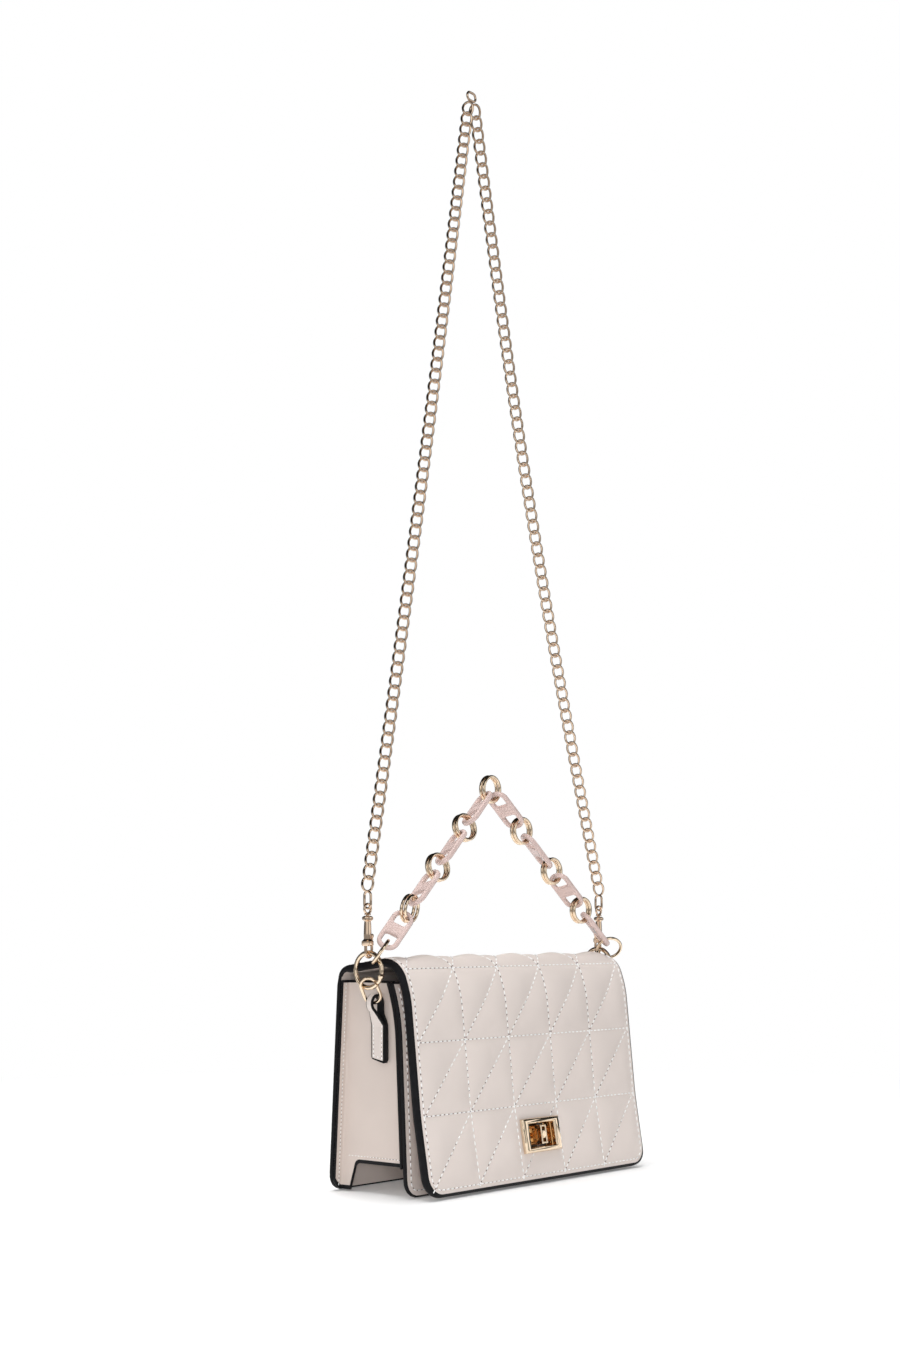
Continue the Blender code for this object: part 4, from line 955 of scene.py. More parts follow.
def gusset_section(z, sizes):
    """A gusset's level: out along the front flange, across the web, out along the back flange."""
    front, back = inner_edges(z, sizes)
    flange, radius = 0.006, 0.003
    edge = sizes.width / 2 - 0.001
    web = edge - flange - GUSSET_THICKNESS
    corners = [(edge, front), (web, front), (web, back), (edge, back)]
    points = list(np.linspace(corners[0], (web + radius, front), 6)[:-1])
    points += arc(corners[0], corners[1], corners[2], radius, 6)
    points += list(np.linspace((web, front + radius), (web, back - radius), 16)[1:-1])
    points += arc(corners[1], corners[2], corners[3], radius, 6)
    points += list(np.linspace((web + radius, back), corners[3], 6)[1:])
    return Line(points)


def on_section(section, share, lift):
    """The (width, depth) place at a share of a gusset's level and a distance outside it."""
    s = np.array(section.length * share)
    return section.place(s) + section.out(s) * lift


def gusset_foot(sizes):
    """Shares of a gusset's level, and the height of its cut foot at each: hem, rounded notch and back leg."""
    leg, notch, slant, flange_run = 0.0140, 0.0045, 0.0032, 0.0085
    base = gusset_section(GUSSET_HEM, sizes)
    width = base.length
    bend = width - leg - flange_run
    turns = np.linspace(bend, bend + notch, 9) / width
    share = np.concatenate(([0.0, 0.004], np.linspace(0.02, 0.98, 46), [0.996, 1.0]))
    away = share[(share < turns[0] - 0.004) | (share > turns[-1] + 0.036)]
    share = np.unique(np.concatenate((away, turns, [turns[-1] + slant / width])))
    round_off = notch * (1 - np.sqrt(1 - np.clip((width * share - bend) / notch, 0, 1) ** 2))
    drop = np.clip((width * share - bend - notch) / slant, 0, 1)
    foot = GUSSET_HEM - round_off - (GUSSET_HEM - 0.001 - notch) * drop
    spread = base.place(width * share)[:, 0] - (sizes.width / 2 - PANEL_CORNER)
    corner = PANEL_CORNER + 0.0005 - np.sqrt(PANEL_CORNER ** 2 - np.clip(spread, 0, 0.0095) ** 2)
    return share, np.maximum(foot, corner)


class BAG_OT_gussets(bpy.types.Operator):
    """Makes the two side gussets with their turned-out flanges and the notch at the foot"""

    bl_idname = "bag.gussets"
    bl_label = "Gussets"

    def execute(self, context):
        sizes = context.scene.bag_sizes
        # The gussets' darker leather is painted shade on the bag's sides
        finishes = ["gusset leather", "edge paint", "woven lining"]
        bow_depth, paint_lane, levels = 0.0012, 0.019, 34
        steps = np.concatenate(([0.0, paint_lane], np.linspace(0.04, 0.99, levels - 2), [1.0]))
        share, foot = gusset_foot(sizes)
        for tag, side in SIDES:
            outer = np.zeros((len(steps), len(share), 3))
            inner = np.zeros_like(outer)
            for row, step in enumerate(steps):
                for column, at in enumerate(share):
                    z = foot[column] + (GUSSET_TOP - foot[column]) * step
                    section = gusset_section(z, sizes)
                    bow = bow_depth * math.sin(math.pi * at) ** 2 * math.sin(math.pi * min(1.0, z / 0.14))
                    for grid, depth in ((inner, 0.0), (outer, GUSSET_THICKNESS)):
                        spot = on_section(section, at, depth - bow)
                        grid[row, column] = (side * spot[0], spot[1], z)
            gusset = sheet_shell(f"gusset_{tag}_leather", outer, inner, finishes, bulge=0.0003)
            dress(gusset, "bag", "leather_shade", f"gusset_{tag}")
        return {"FINISHED"}


class BAG_OT_lining(bpy.types.Operator):
    """Makes the lining, a soft cloth box that sags a little between its corners"""

    bl_idname = "bag.lining"
    bl_label = "Lining"

    def execute(self, context):
        points = np.array([v.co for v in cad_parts["lining"].data.vertices])
        low, high = points.min(0), points.max(0)
        foot = points[points[:, 2] < low[2] + 0.0005]
        mouth = points[points[:, 2] > high[2] - 0.0005]
        across, through, levels, cloth = 44, 14, 18, 0.001
        steps = np.linspace(0, 1, levels)

        def between(foot_edge, mouth_edge, share):
            return foot_edge + (mouth_edge - foot_edge) * share

        def wall(depth):
            """The levels round the box from its foot to its mouth, at a depth inside its outer face."""
            x, loops = high[0] - depth, []
            for share in steps:
                front = between(foot[:, 1].min(), mouth[:, 1].min(), share) + depth
                back = between(foot[:, 1].max(), mouth[:, 1].max(), share) - depth
                z = between(low[2] + depth, high[2], share)
                loop = [(a, front, z) for a in np.linspace(-x, x, across)]
                loop += [(x, b, z) for b in np.linspace(front, back, through)[1:-1]]
                loop += [(a, back, z) for a in np.linspace(x, -x, across)]
                loop += [(-x, b, z) for b in np.linspace(back, front, through)[1:-1]]
                loops.append(loop)
            return np.array(loops)

        outer, inner = wall(0.0), wall(cloth)
        fold = 0.0006 * np.sin(inner[..., 0] * 210) * np.sin(np.pi * steps)[:, None]
        inner[..., 1] += np.where(inner[..., 1] > 0.01, -np.abs(fold), np.abs(fold))
        verts = [*outer.reshape(-1, 3), *inner.reshape(-1, 3)]
        outside = np.arange(outer.size // 3).reshape(outer.shape[:2])
        inside = outside + outside.size
        faces = grid_faces(outside, closed=True) + grid_faces(inside, closed=True)
        faces += grid_faces(np.stack((outside[-1], inside[-1])), closed=True)
        faces += [outside[0].tolist(), inside[0].tolist()]
        lining = creased(piece("woven_lining", verts, faces, ["woven lining"]), 50)
        dress(lining, "bag", "lining", "lining")
        return {"FINISHED"}


# Tabs and rings at each end


class BAG_OT_tabs(bpy.types.Operator):
    """Makes the doubled leather tab on each gusset"""

    bl_idname = "bag.tabs"
    bl_label = "Tabs"

    def execute(self, context):
        layer, foot, width, neck = TAB_LAYER, 0.081, 0.011, 0.0045
        near = GUSSET_FACE + GAP
        cx, cz = near + LOOP_RADIUS, LOOP_TOP - LOOP_RADIUS
        loop_foot = cz - 0.0138

        def round_loop(radius):
            """The turn of the tab's loop, from the gusset over the top and back towards the tab."""
            turns = np.linspace(math.pi, -math.pi / 3, 22)
            return [(cx + radius * math.cos(a), cz + radius * math.sin(a)) for a in turns]

        outer = [(near, z) for z in np.linspace(foot, cz - 0.002, 16)] + round_loop(LOOP_RADIUS)
        outer += [(near + 2 * layer, z) for z in (*np.linspace(loop_foot, foot + 0.0012, 15), foot)]
        inner = [(near + layer * 0.98, z) for z in np.linspace(foot + layer, cz - 0.004, 16)]
        inner += round_loop(LOOP_RADIUS - layer)
        steps = (*np.linspace(loop_foot, foot + layer, 15), foot + 0.0004)
        inner += [(near + layer * 1.02, z) for z in steps]

        def half_width(z):
            end = min(1.0, max(0.0, (foot + 0.0016 - z) / 0.0016))
            return width / 2 + (neck - width) / 2 * eased((z - loop_foot) / 0.009) - 0.0008 * end * end

        across = (-1.0, -0.72, -0.5, 0.0, 0.6, 0.86, 1.0)
        front = np.arange(len(outer) * len(across)).reshape(len(outer), len(across))
        back = front + front.size
        faces = grid_faces(front) + grid_faces(back)
        for edge in (0, -1):
            faces += grid_faces(np.stack((front[:, edge], back[:, edge])))
            faces += grid_faces(np.stack((front[edge], back[edge])))
        # The front lane of edge paint, from -1 to -0.72, is wider than the back's: it is edge paint and
        # painted shadow beside the tab. All other faces take the black too; on the inside of the loop that
        # black is painted shade.
        painted = np.zeros((len(outer) - 1, len(across) - 1), int)
        painted[:, (0, -1)] = 1
        painted[-1] = 1
        slots = painted.reshape(-1).tolist()
        slots += [1] * (len(faces) - len(slots))
        finishes = ["panel leather", "edge paint"]
        for tag, side in SIDES:
            verts = []
            for pairs, rise in ((outer, 0.0002), (inner, 0.0)):
                for u, z in pairs:
                    for step in across:
                        crown = rise * (1 - step * step)
                        slant = 0.0012 * (step + 1) * min(1.0, max(0.0, 1 - (z - foot) / 0.012))
                        verts.append((side * (u + crown), RING_CENTRE[1] + step * half_width(z), z + slant))
            tab = creased(piece(f"tab_{tag}_leather", verts, faces, finishes, slots), 60)
            dress(tab, "bag", "leather", f"tab_{tag}")
        return {"FINISHED"}


def ring_point(side, degrees):
    """A point on a snap ring's centre line, turned from its top towards the front."""
    x, y, z = RING_CENTRE
    angle = math.radians(degrees)
    return Vector((side * x, y - RING_RADIUS * math.sin(angle), z + RING_RADIUS * math.cos(angle)))


def circle(centre, radius, steps, across=Vector((1, 0, 0)), up=Vector((0, 0, 1))):
    """Points round a ring, which stands upright and faces the front unless its directions are given."""
    turns = np.linspace(0, 2 * math.pi, steps + 1)[:-1]
    return [centre + radius * (math.cos(a) * across + math.sin(a) * up) for a in turns]


def oval(half_length, half_width, steps=12):
    """A long ring in XY, its length along Y."""
    straight = half_length - half_width
    points = []
    for end in (1, -1):
        for step in range(steps + 1):
            angle = math.pi * step / steps
            reach = straight + half_width * math.sin(angle)
            points.append(Vector((end * half_width * math.cos(angle), end * reach, 0)))
    return points


class BAG_OT_rings(bpy.types.Operator):
    """Makes the snap rings, their gates and the oval rings below them"""

    bl_idname = "bag.rings"
    bl_label = "Rings"

    def execute(self, context):
        thick = context.scene.bag_hardware.ring_wire
        hinge, latch, latch_gap, hinge_gap = 107, 136, 0.0008, 0.0012
        start = latch + math.degrees(latch_gap / RING_RADIUS)
        end = 360 + hinge - math.degrees(hinge_gap / RING_RADIUS)
        swell = [1.3, 1.3, 1.3, 1.27, 1.1, 1, 1, 1, 1, 1, 1, 1, 0.96, 0.86]
        rivet = [(0.0004, -0.0021), (0.0009, -0.0019), (0.0009, 0.0019), (0.0004, 0.0021)]
        for tag, side in SIDES:
            places = [ring_point(side, a) for a in np.linspace(start, end, 60)]
            dress(wire(f"snap_ring_{tag}_body", places, thick), "bag", "gold", f"snap_ring_{tag}")
            places = [ring_point(side, a) for a in np.linspace(hinge, latch, len(swell))]
            arm = wire(f"ring_gate_{tag}_arm", places, thick, radii=swell)
            across = Matrix.Translation(ring_point(side, hinge + 1)) @ Matrix.Rotation(math.pi / 2, 4, "Y")
            gate = joined(f"ring_gate_{tag}_arm", [arm, turned("pin", rivet, across, 16)])
            dress(gate, f"gate_{tag}", "gold", f"ring_gate_{tag}")
            dress(self.oval_ring(tag, side), "bag", "gold", f"oval_ring_{tag}")
        return {"FINISHED"}

    def oval_ring(self, tag, side):
        """The small ring that leans out of the tab's loop, turned a little to the front."""
        foot_height, top_height, lean, half_width, thick = 0.1182, 0.1332, 0.0083, 0.0049, 0.00105
        turn = math.radians(36)
        foot = Vector((side * (GUSSET_FACE + GAP + LOOP_RADIUS), RING_CENTRE[1], foot_height))
        top = Vector((foot.x + side * lean, RING_CENTRE[1], top_height))
        up = (top - foot).normalized()
        across = Vector((side * math.sin(turn), math.cos(turn), 0))
        across = (across - across.dot(up) * up).normalized()
        middle = (foot + top) / 2
        points = [middle + p.x * across + p.y * up for p in oval((top - foot).length / 2, half_width)]
        return wire(f"oval_ring_{tag}_wire", points, thick, closed=True)


# Strap's clasps and long links


# The strap's metal is gold darkened with painted shade and dark reflection
STRAP_METAL = "chain plating"
HOOK_RADIUS = 0.00275
EYE_RADIUS = 0.00295
CLASP_FOOT = 0.0041

# Turned parts of a clasp as (radius, height) pairs
SHANK_PROFILE = (
    (0.0010, -0.0001), (0.0032, 0.0), (0.0037, 0.0006), (0.0037, 0.0028), (0.0030, 0.0034),
    (0.0023, 0.0042), (0.0024, 0.0062), (0.0022, 0.0125), (0.0020, 0.0150), (0.0026, 0.0155),
    (0.0033, 0.0160), (0.0034, 0.0168), (0.0033, 0.0176), (0.0024, 0.0182), (0.0013, 0.0184),
)
BOLT_PROFILE = (
    (0.0005, 0.0), (0.00085, 0.0003), (0.00085, 0.0080), (0.0011, 0.0083), (0.0013, 0.0092), (0.0011, 0.0101),
    (0.0006, 0.0105),
)
DISC_PROFILE = (
    (0.0009, -0.0015), (0.0009, 0.0), (0.0019, 0.0001), (0.0021, 0.0005), (0.0018, 0.0010), (0.0010, 0.0013),
)


class BAG_OT_clasps(bpy.types.Operator):
    """Makes the snap hook, sliding bolt, swivel eye and end link at each end of the strap"""

    bl_idname = "bag.clasps"
    bl_label = "Clasps"

    def execute(self, context):
        shank_offset, bolt_foot, eye_foot, eye_wire = 0.001, 0.0010, 0.0010, 0.00075
        collar = CLASP_FOOT + SHANK_PROFILE[-1][1] + GAP
        for tag, side in SIDES:
            place = ring_point(side, 0)
            axis = place + Vector((side * shank_offset, 0, 0))
            shank = self.spun("shank", SHANK_PROFILE, axis, CLASP_FOOT, 36)
            clasp = joined(f"clasp_{tag}_body", [self.hook(place, side), shank])
            dress(clasp, f"clasp_{tag}", "gold", f"clasp_{tag}")
            pin = place - Vector((side * HOOK_RADIUS, 0, 0))
            bolt = self.spun(f"clasp_bolt_{tag}_pin", BOLT_PROFILE, pin, bolt_foot, 20)
            dress(bolt, f"bolt_{tag}", "gold", f"clasp_bolt_{tag}")
            disc = self.spun("disc", DISC_PROFILE, axis, collar, 24)
            centre = axis + Vector((0, 0, collar + eye_foot + EYE_RADIUS))
            loop = wire("loop", circle(centre, EYE_RADIUS, 32), eye_wire, closed=True, key=STRAP_METAL)
            eye = joined(f"swivel_eye_{tag}_loop", [disc, loop])
            dress(eye, "strap", "gold", f"swivel_eye_{tag}")
        for node in ("end_link_left", "end_link_right", "top_link"):
            dress(self.long_link(node), "strap", "gold", node)
        return {"FINISHED"}

    def hook(self, place, side):
        """The clasp's hook, from the shank down and round under the snap ring to the bolt."""
        in_shank, bend_start, tip, thick = 0.0062, 0.003, 0.0007, 0.00095
        out, up = Vector((side * HOOK_RADIUS, 0, 0)), Vector((0, 0, 1))
        points = [place + out + up * in_shank, place + out + up * bend_start]
        for a in np.linspace(0, -math.pi, 18):
            points.append(place + out * math.cos(a) + up * HOOK_RADIUS * math.sin(a))
        points.append(place - out + up * tip)
        return wire("hook", points, thick, key=STRAP_METAL)

    def spun(self, name, profile, place, height, steps):
        """A turned part of a clasp on an upright axis, its profile starting at a height above the place."""
        matrix = Matrix.Translation((place.x, place.y, 0))
        raised = [(radius, place.z + height + level) for radius, level in profile]
        return turned(name, raised, matrix, steps, STRAP_METAL)

    def long_link(self, node):
        """An end link or the top link, the end links drawn up by the reach that hooks them in the chain."""
        low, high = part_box(node)
        middle, size = (low + high) / 2, (high - low) / 2
        thick, reach = 0.00078, 0.00095
        flat = node == "top_link"
        run, spread = (size.x, size.z) if flat else (size.z + reach, size.y)
        if not flat:
            middle.z += reach
        points = []
        for p in oval(run - thick, spread - thick):
            points.append(middle + (Vector((p.y, 0, p.x)) if flat else Vector((0, p.x, p.y))))
        return wire(f"{node}_wire", points, thick, closed=True, key=STRAP_METAL)


# Geometry Nodes and the chain


class Tree(Graph):
    """A Geometry Nodes tree with named lengths and a material as its inputs."""

    def __init__(self, name, lengths, finish):
        super().__init__(bpy.data.node_groups.new(name, "GeometryNodeTree"))
        face = self.tree.interface
        face.new_socket("Geometry", in_out="INPUT", socket_type="NodeSocketGeometry")
        face.new_socket("Geometry", in_out="OUTPUT", socket_type="NodeSocketGeometry")
        self.values = {}
        for label, value in lengths.items():
            socket = face.new_socket(label, in_out="INPUT", socket_type="NodeSocketFloat")
            socket.default_value = value
            self.values[socket.identifier] = value
        socket = face.new_socket("Material", in_out="INPUT", socket_type="NodeSocketMaterial")
        self.values[socket.identifier] = finish_named(finish)
        self.source = self.add("NodeGroupInput").outputs
        self.target = self.add("NodeGroupOutput")

    def aimed(self, points):
        """The rotation that points Z along the curve at each of its points."""
        return self.add("FunctionNodeAlignRotationToVector", {"Vector": points.outputs["Tangent"]}, axis="Z")

    def repeat(self, shape, points, rotation):
        """Puts the shape on every point, realizes the copies, gives them their material and ends the tree."""
        smooth = self.add("GeometryNodeSetShadeSmooth", {"Geometry": shape.outputs[0]})
        copies = self.add(
            "GeometryNodeInstanceOnPoints",
            {"Points": points.outputs[0], "Instance": smooth.outputs[0], "Rotation": rotation.outputs[0]},
        )
        real = self.add("GeometryNodeRealizeInstances", {0: copies.outputs[0]}).outputs[0]
        done = self.add("GeometryNodeSetMaterial", {"Geometry": real, "Material": self.source["Material"]})
        self.feed(self.target, 0, done.outputs[0])

    def apply(self, obj):
        modifier = obj.modifiers.new(self.tree.name, "NODES")
        modifier.node_group = self.tree
        for identifier, value in self.values.items():
            modifier[identifier] = value
        return settle(obj)


def guide(name, runs):
    """A curve object with one run for each list of points."""
    data = bpy.data.curves.new(name, "CURVE")
    data.dimensions = "3D"
    for points in runs:
        strand(data, points)
    return shown(name, data)


def curb_links(hardware):
    """Curb links along a curve: each is an oval twisted so that it lies flat in the next."""
    lengths = {
        "Half width": hardware.link_half_width,
        "Half length": hardware.link_half_length,
        "Twist": hardware.link_twist,
        "Wire": hardware.link_wire,
    }
    tree = Tree("curb links", lengths, STRAP_METAL)
    source = tree.source
    points = tree.add("GeometryNodeCurveToPoints", {"Curve": source["Geometry"]}, mode="EVALUATED")
    ring = tree.add("GeometryNodeCurvePrimitiveCircle", {"Resolution": 22, "Radius": 1.0})
    place = tree.add("ShaderNodeSeparateXYZ", {0: tree.add("GeometryNodeInputPosition").outputs[0]}).outputs
    across = tree.math("MULTIPLY", place[0], source["Half width"])
    along = tree.math("MULTIPLY", place[1], source["Half length"])
    both = tree.math("MULTIPLY", tree.math("MULTIPLY", place[0], place[1]), -2.0)
    deep = tree.math("MULTIPLY", both, source["Twist"])
    twisted = tree.add("ShaderNodeCombineXYZ", {0: across, 1: deep, 2: along}).outputs[0]
    shaped = tree.add("GeometryNodeSetPosition", {"Geometry": ring.outputs[0], "Position": twisted})
    section = tree.add("GeometryNodeCurvePrimitiveCircle", {"Resolution": 8, "Radius": source["Wire"]})
    swept = {"Curve": shaped.outputs[0], "Profile Curve": section.outputs[0]}
    link = tree.add("GeometryNodeCurveToMesh", swept)
    towards = {"Rotation": tree.aimed(points).outputs[0], "Vector": (1.0, -1.0, 0.0)}
    faced = tree.add("FunctionNodeAlignRotationToVector", towards, axis="X", pivot_axis="Z")
    tree.repeat(link, points, faced)
    return tree


class BAG_OT_chain(bpy.types.Operator):
    """Makes the two runs of curb chain"""

    bl_idname = "bag.chain"
    bl_label = "Chain"

    def execute(self, context):
        hardware = context.scene.bag_hardware
        reach, strap_top, top_link_drop, top_depth, foot_x = 0.0055, 0.717, 0.0061, 0.020, 0.121
        for (tag, side), bow in zip(SIDES, (0.002, 0.009)):
            foot = np.array((side * foot_x, RING_CENTRE[1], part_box(f"end_link_{tag}")[1].z + GAP + reach))
            top = np.array((side * hardware.pitch / 2, top_depth, strap_top - top_link_drop - reach))
            count = round(float(np.linalg.norm(top - foot)) / hardware.pitch)
            share = np.linspace(0, 1, count + 1)[:, None]
            line = foot + (top - foot) * share
            line[:, 0] -= side * bow * np.sin(math.pi * share[:, 0])
            chain = curb_links(hardware).apply(guide(f"chain_{tag}_links", [line]))
            chain.data.shade_smooth()
            dress(chain, "strap", "gold", f"chain_{tag}")
        return {"FINISHED"}


# Handle


def node_axes(node):
    """A CAD node's middle, its three directions, longest first, and its reach along each."""
    points = np.unique(np.round(np.array([v.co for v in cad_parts[node].data.vertices]), 6), axis=0)
    middle = points.mean(0)
    _, vectors = np.linalg.eigh(np.cov((points - middle).T))
    axes = vectors[:, ::-1].T
    reach = np.abs((points - middle) @ axes.T).max(0)
    return Vector(middle), [Vector(axis) for axis in axes], reach


def link_outlines(hardware, inset):
    """A cast link's rim and its two holes, drawn in by an inset, as (across, along) points."""
    rim, bridge, outer_corner, inner_corner = 0.0029, 0.009, 0.0034, 0.0016
    half, side = hardware.handle_link / 2, hardware.handle_width / 2
    outlines = [[(p.x, p.y) for p in oval(half - inset, side - inset, 20)]]
    far, near, across = half - rim + inset, bridge / 2 - inset, side - rim + inset
    for end in (1, -1):
        ring = []
        for right, high, start in ((1, 1, 0), (0, 1, 90), (0, 0, 180), (1, 0, 270)):
            soft = inset + (outer_corner if high else inner_corner)
            cx = (across - soft) * (2 * right - 1)
            cy = far - soft if high else near + soft
            for turn in np.linspace(0, 90, 9):
                angle = math.radians(start + turn)
                ring.append((cx + soft * math.cos(angle), end * (cy + soft * math.sin(angle))))
        outlines.append(ring)
    return outlines


def cast_link(name, hardware, place):
    """A flat oval link with two holes, its rims rounded as they come from the mould."""
    soft, half = 0.0012, hardware.handle_thickness / 2
    turns = np.linspace(0, math.pi / 2, 6)
    levels = [(soft * (1 - math.sin(a)), half - soft * (1 - math.cos(a))) for a in turns]
    levels += [(depth, -height) for depth, height in reversed(levels)]
    bm = bmesh.new()
    rings = []
    for depth, height in levels:
        loops = link_outlines(hardware, depth)
        rings.append([[bm.verts.new((a, b, height)) for a, b in loop] for loop in loops])
    for low, high in zip(rings[:-1], rings[1:]):
        for first, second in zip(low, high):
            for k in range(len(first)):
                following = (k + 1) % len(first)
                bm.faces.new((first[k], first[following], second[following], second[k]))
    for level in (rings[0], rings[-1]):
        edges = [bm.edges.get((loop[k - 1], loop[k])) for loop in level for k in range(len(loop))]
        bmesh.ops.triangle_fill(bm, edges=edges, use_beauty=True, use_dissolve=False)
    link = placed(name, bm, place, "resin")
    link.data.shade_smooth()
    return link


class BAG_OT_handle(bpy.types.Operator):
    """Makes the resin links of the handle and the rings that join them"""

    bl_idname = "bag.handle"
    bl_label = "Handle"

    def execute(self, context):
        hardware = context.scene.bag_hardware
        for number in range(1, 9):
            node = f"handle_link_{number}"
            middle, (long, wide, _), _ = node_axes(node)
            square = wide.cross(long)
            place = Matrix.Translation(middle) @ Matrix((wide, long, square)).transposed().to_4x4()
            dress(cast_link(f"resin_link_{number}", hardware, place), "handle", "resin", node)
        rings = [f"handle_ring_{n}{letter}" for n in range(1, 8) for letter in "ab"]
        rings += ["handle_end_ring_left", "handle_end_ring_right"]
        for node in rings:
            middle, (first, second, _), reach = node_axes(node)
            thick = float(reach[2])
            points = circle(middle, float(reach[:2].max()) - thick, hardware.wire_steps, first, second)
            ring = wire(f"{node}_wire", points, thick * 1.06, closed=True, sides=4)
            dress(ring, "handle", "gold", node)
        return {"FINISHED"}


# Turn lock


def facing(line, height, distance):
    """A frame of reference in front of a line at a height: Z straight out of the leather, Y up along it."""
    s = np.array(line.where(height))
    out = Vector((0, *line.out(s)))
    up = Vector((0, out.z, -out.y))
    turn = Matrix((up.cross(out), up, out)).transposed().to_4x4()
    return Matrix.Translation(Vector((0, *line.place(s))) + out * distance) @ turn


def lock_place(distance, x=0.0, y=0.0):
    """The turn lock's frame of reference on the flap, moved across and up."""
    return facing(flap_line(), LOCK_HEIGHT, distance) @ Matrix.Translation((x, y, 0))


def softened(obj, width):
    """Rounds the edges of an object a little, for the light to catch them."""
    modifier = obj.modifiers.new("rounded edges", "BEVEL")
    modifier.width = width
    modifier.segments = 2
    modifier.limit_method = "ANGLE"
    modifier.angle_limit = math.radians(20)
    modifier.harden_normals = True
    return settle(obj)


def picture_frame(name, outer, window, depth, place, bevel, key="gold plating"):
    """A flat frame with a sloping inner border and rounded edges."""
    slope = 0.0007
    bm = bmesh.new()
    levels = []
    steps = [
        (outer[0], outer[1], 0.0),
        (outer[0], outer[1], depth - bevel),
        (outer[0] - bevel, outer[1] - bevel, depth),
        (window[0] + slope, window[1] + slope, depth),
        (window[0], window[1], depth - slope),
        (window[0], window[1], 0.0),
    ]
    for half_x, half_y, z in steps:
        corners = [(-half_x, -half_y), (half_x, -half_y), (half_x, half_y), (-half_x, half_y)]
        levels.append([bm.verts.new((a, b, z)) for a, b in corners])
    levels.append(levels[0])
    for low, high in zip(levels[:-1], levels[1:]):
        for k in range(4):
            bm.faces.new((low[k], low[(k + 1) % 4], high[(k + 1) % 4], high[k]))
    obj = softened(placed(name, bm, place, key), 0.00018)
    obj.data.shade_smooth()
    return creased(obj, 30)


class BAG_OT_lock(bpy.types.Operator):
    """Makes the turn lock's frame, base and knob"""

    bl_idname = "bag.lock"
    bl_label = "Turn lock"

    def execute(self, context):
        plate, flap, lining, backing, stem_seat = 0.003, 0.004, 0.001, 0.001, 0.003
        base_top = -(flap + lining + backing + 4 * GAP)
        knob_top = GAP + plate + 0.0008
        dress(self.lock_frame(plate), "flap", "gold", "lock_frame")
        dress(self.lock_base(base_top), "bag", "gold", "lock_base")
        dress(self.lock_knob(knob_top, base_top - stem_seat), "knob", "gold", "lock_knob")
        for node in ("lock_washer", "lock_backing"):
            refinished(node, "gold plating")
        return {"FINISHED"}

    def lock_frame(self, plate):
        """The frame on the flap, with the sleeve that lines its window."""
        window = (0.01325, 0.0075)
        size, place = (LOCK_PLATE_HALF, 0.011), lock_place(GAP)
        front = picture_frame("lock_frame_front", size, window, plate, place, 0.0010)
        size, place = (0.01425, 0.0085), lock_place(-0.0053)
        # The sleeve's darker gold is painted shade and warm reflection inside the window
        sleeve = picture_frame("sleeve", size, window, 0.0052, place, 0.0001, "deep gold")
        return joined("lock_frame_front", [front, sleeve])

    def lock_base(self, top):
        """The base's raised boss with its rim, and the flange that lies on the front panel."""
        boss_depth, flange_depth = 0.0055, 0.0012
        boss_size, boss_place = (0.024, 0.0125, boss_depth), lock_place(top - boss_depth / 2)
        # The boss and its rim lie deep in the window: their darker gold is painted shade and warm reflection
        boss = block("boss", boss_size, boss_place, 0.0006, key="deep gold")
        place = lock_place(top - 0.0002)
        rim = picture_frame("rim", (0.0112, 0.0056), (0.0094, 0.0042), 0.0012, place, 0.0003, "deep gold")
        place = facing(front_line(), BASE_HEIGHT, GAP + flange_depth / 2)
        flange = block("flange", (0.032, 0.019, flange_depth), place, 0.0003, 2)
        return joined("lock_base_plate", [boss, rim, flange])

    def lock_knob(self, top, foot):
        """The knob's ladder of two rails and four rungs, its waist and its stem."""
        parts = []
        for at in (-0.0023, 0.0023):
            parts.append(block("rail", (0.0014, 0.0122, 0.0050), lock_place(top - 0.0025, x=at), 0.0004))
        for at in (-0.0054, -0.0018, 0.0018, 0.0054):
            parts.append(block("rung", (0.0040, 0.0012, 0.0046), lock_place(top - 0.0026, y=at), 0.0003))
        parts.append(block("waist", (0.0044, 0.0074, 0.0034), lock_place(top - 0.0060), 0.0008))
        profile = [(0.0014, 0.0), (0.0019, 0.0004), (0.0019, top - foot), (0.0012, top - foot)]
        parts.append(turned("stem", profile, lock_place(foot), 24))
        return joined("lock_knob_bar", parts)


# Stitching


def stitches(runs, pitch, start, half, radius, key):
    """Short rounded stitches along curves, or dark beads of painted shade for the holes between them."""
    lengths = {"Pitch": pitch, "Start": start, "Half length": half, "Thread": radius}
    tree = Tree(key, lengths, key)
    source = tree.source
    end = tree.add("GeometryNodeCurveLength", {"Curve": source["Geometry"]}).outputs[0]
    trim = {"Curve": source["Geometry"], "Start": source["Start"], "End": end}
    run = tree.add("GeometryNodeTrimCurve", trim, mode="LENGTH").outputs[0]
    points = tree.add("GeometryNodeCurveToPoints", {"Curve": run, "Length": source["Pitch"]}, mode="LENGTH")
    bead = tree.add("GeometryNodeMeshUVSphere", {"Segments": 6, "Rings": 4, "Radius": 1.0})
    radii = {0: source["Thread"], 1: source["Thread"], 2: source["Half length"]}
    size = tree.add("ShaderNodeCombineXYZ", radii)
    shaped = tree.add("GeometryNodeTransform", {"Geometry": bead.outputs[0], "Scale": size.outputs[0]})
    tree.repeat(shaped, points, tree.aimed(points))
    return tree.apply(runs)


def leather_tree(name):
    """A finished piece's faces, to lay thread on."""
    mesh = bpy.data.objects[name].data
    return BVHTree.FromPolygons([v.co for v in mesh.vertices], [tuple(p.vertices) for p in mesh.polygons])


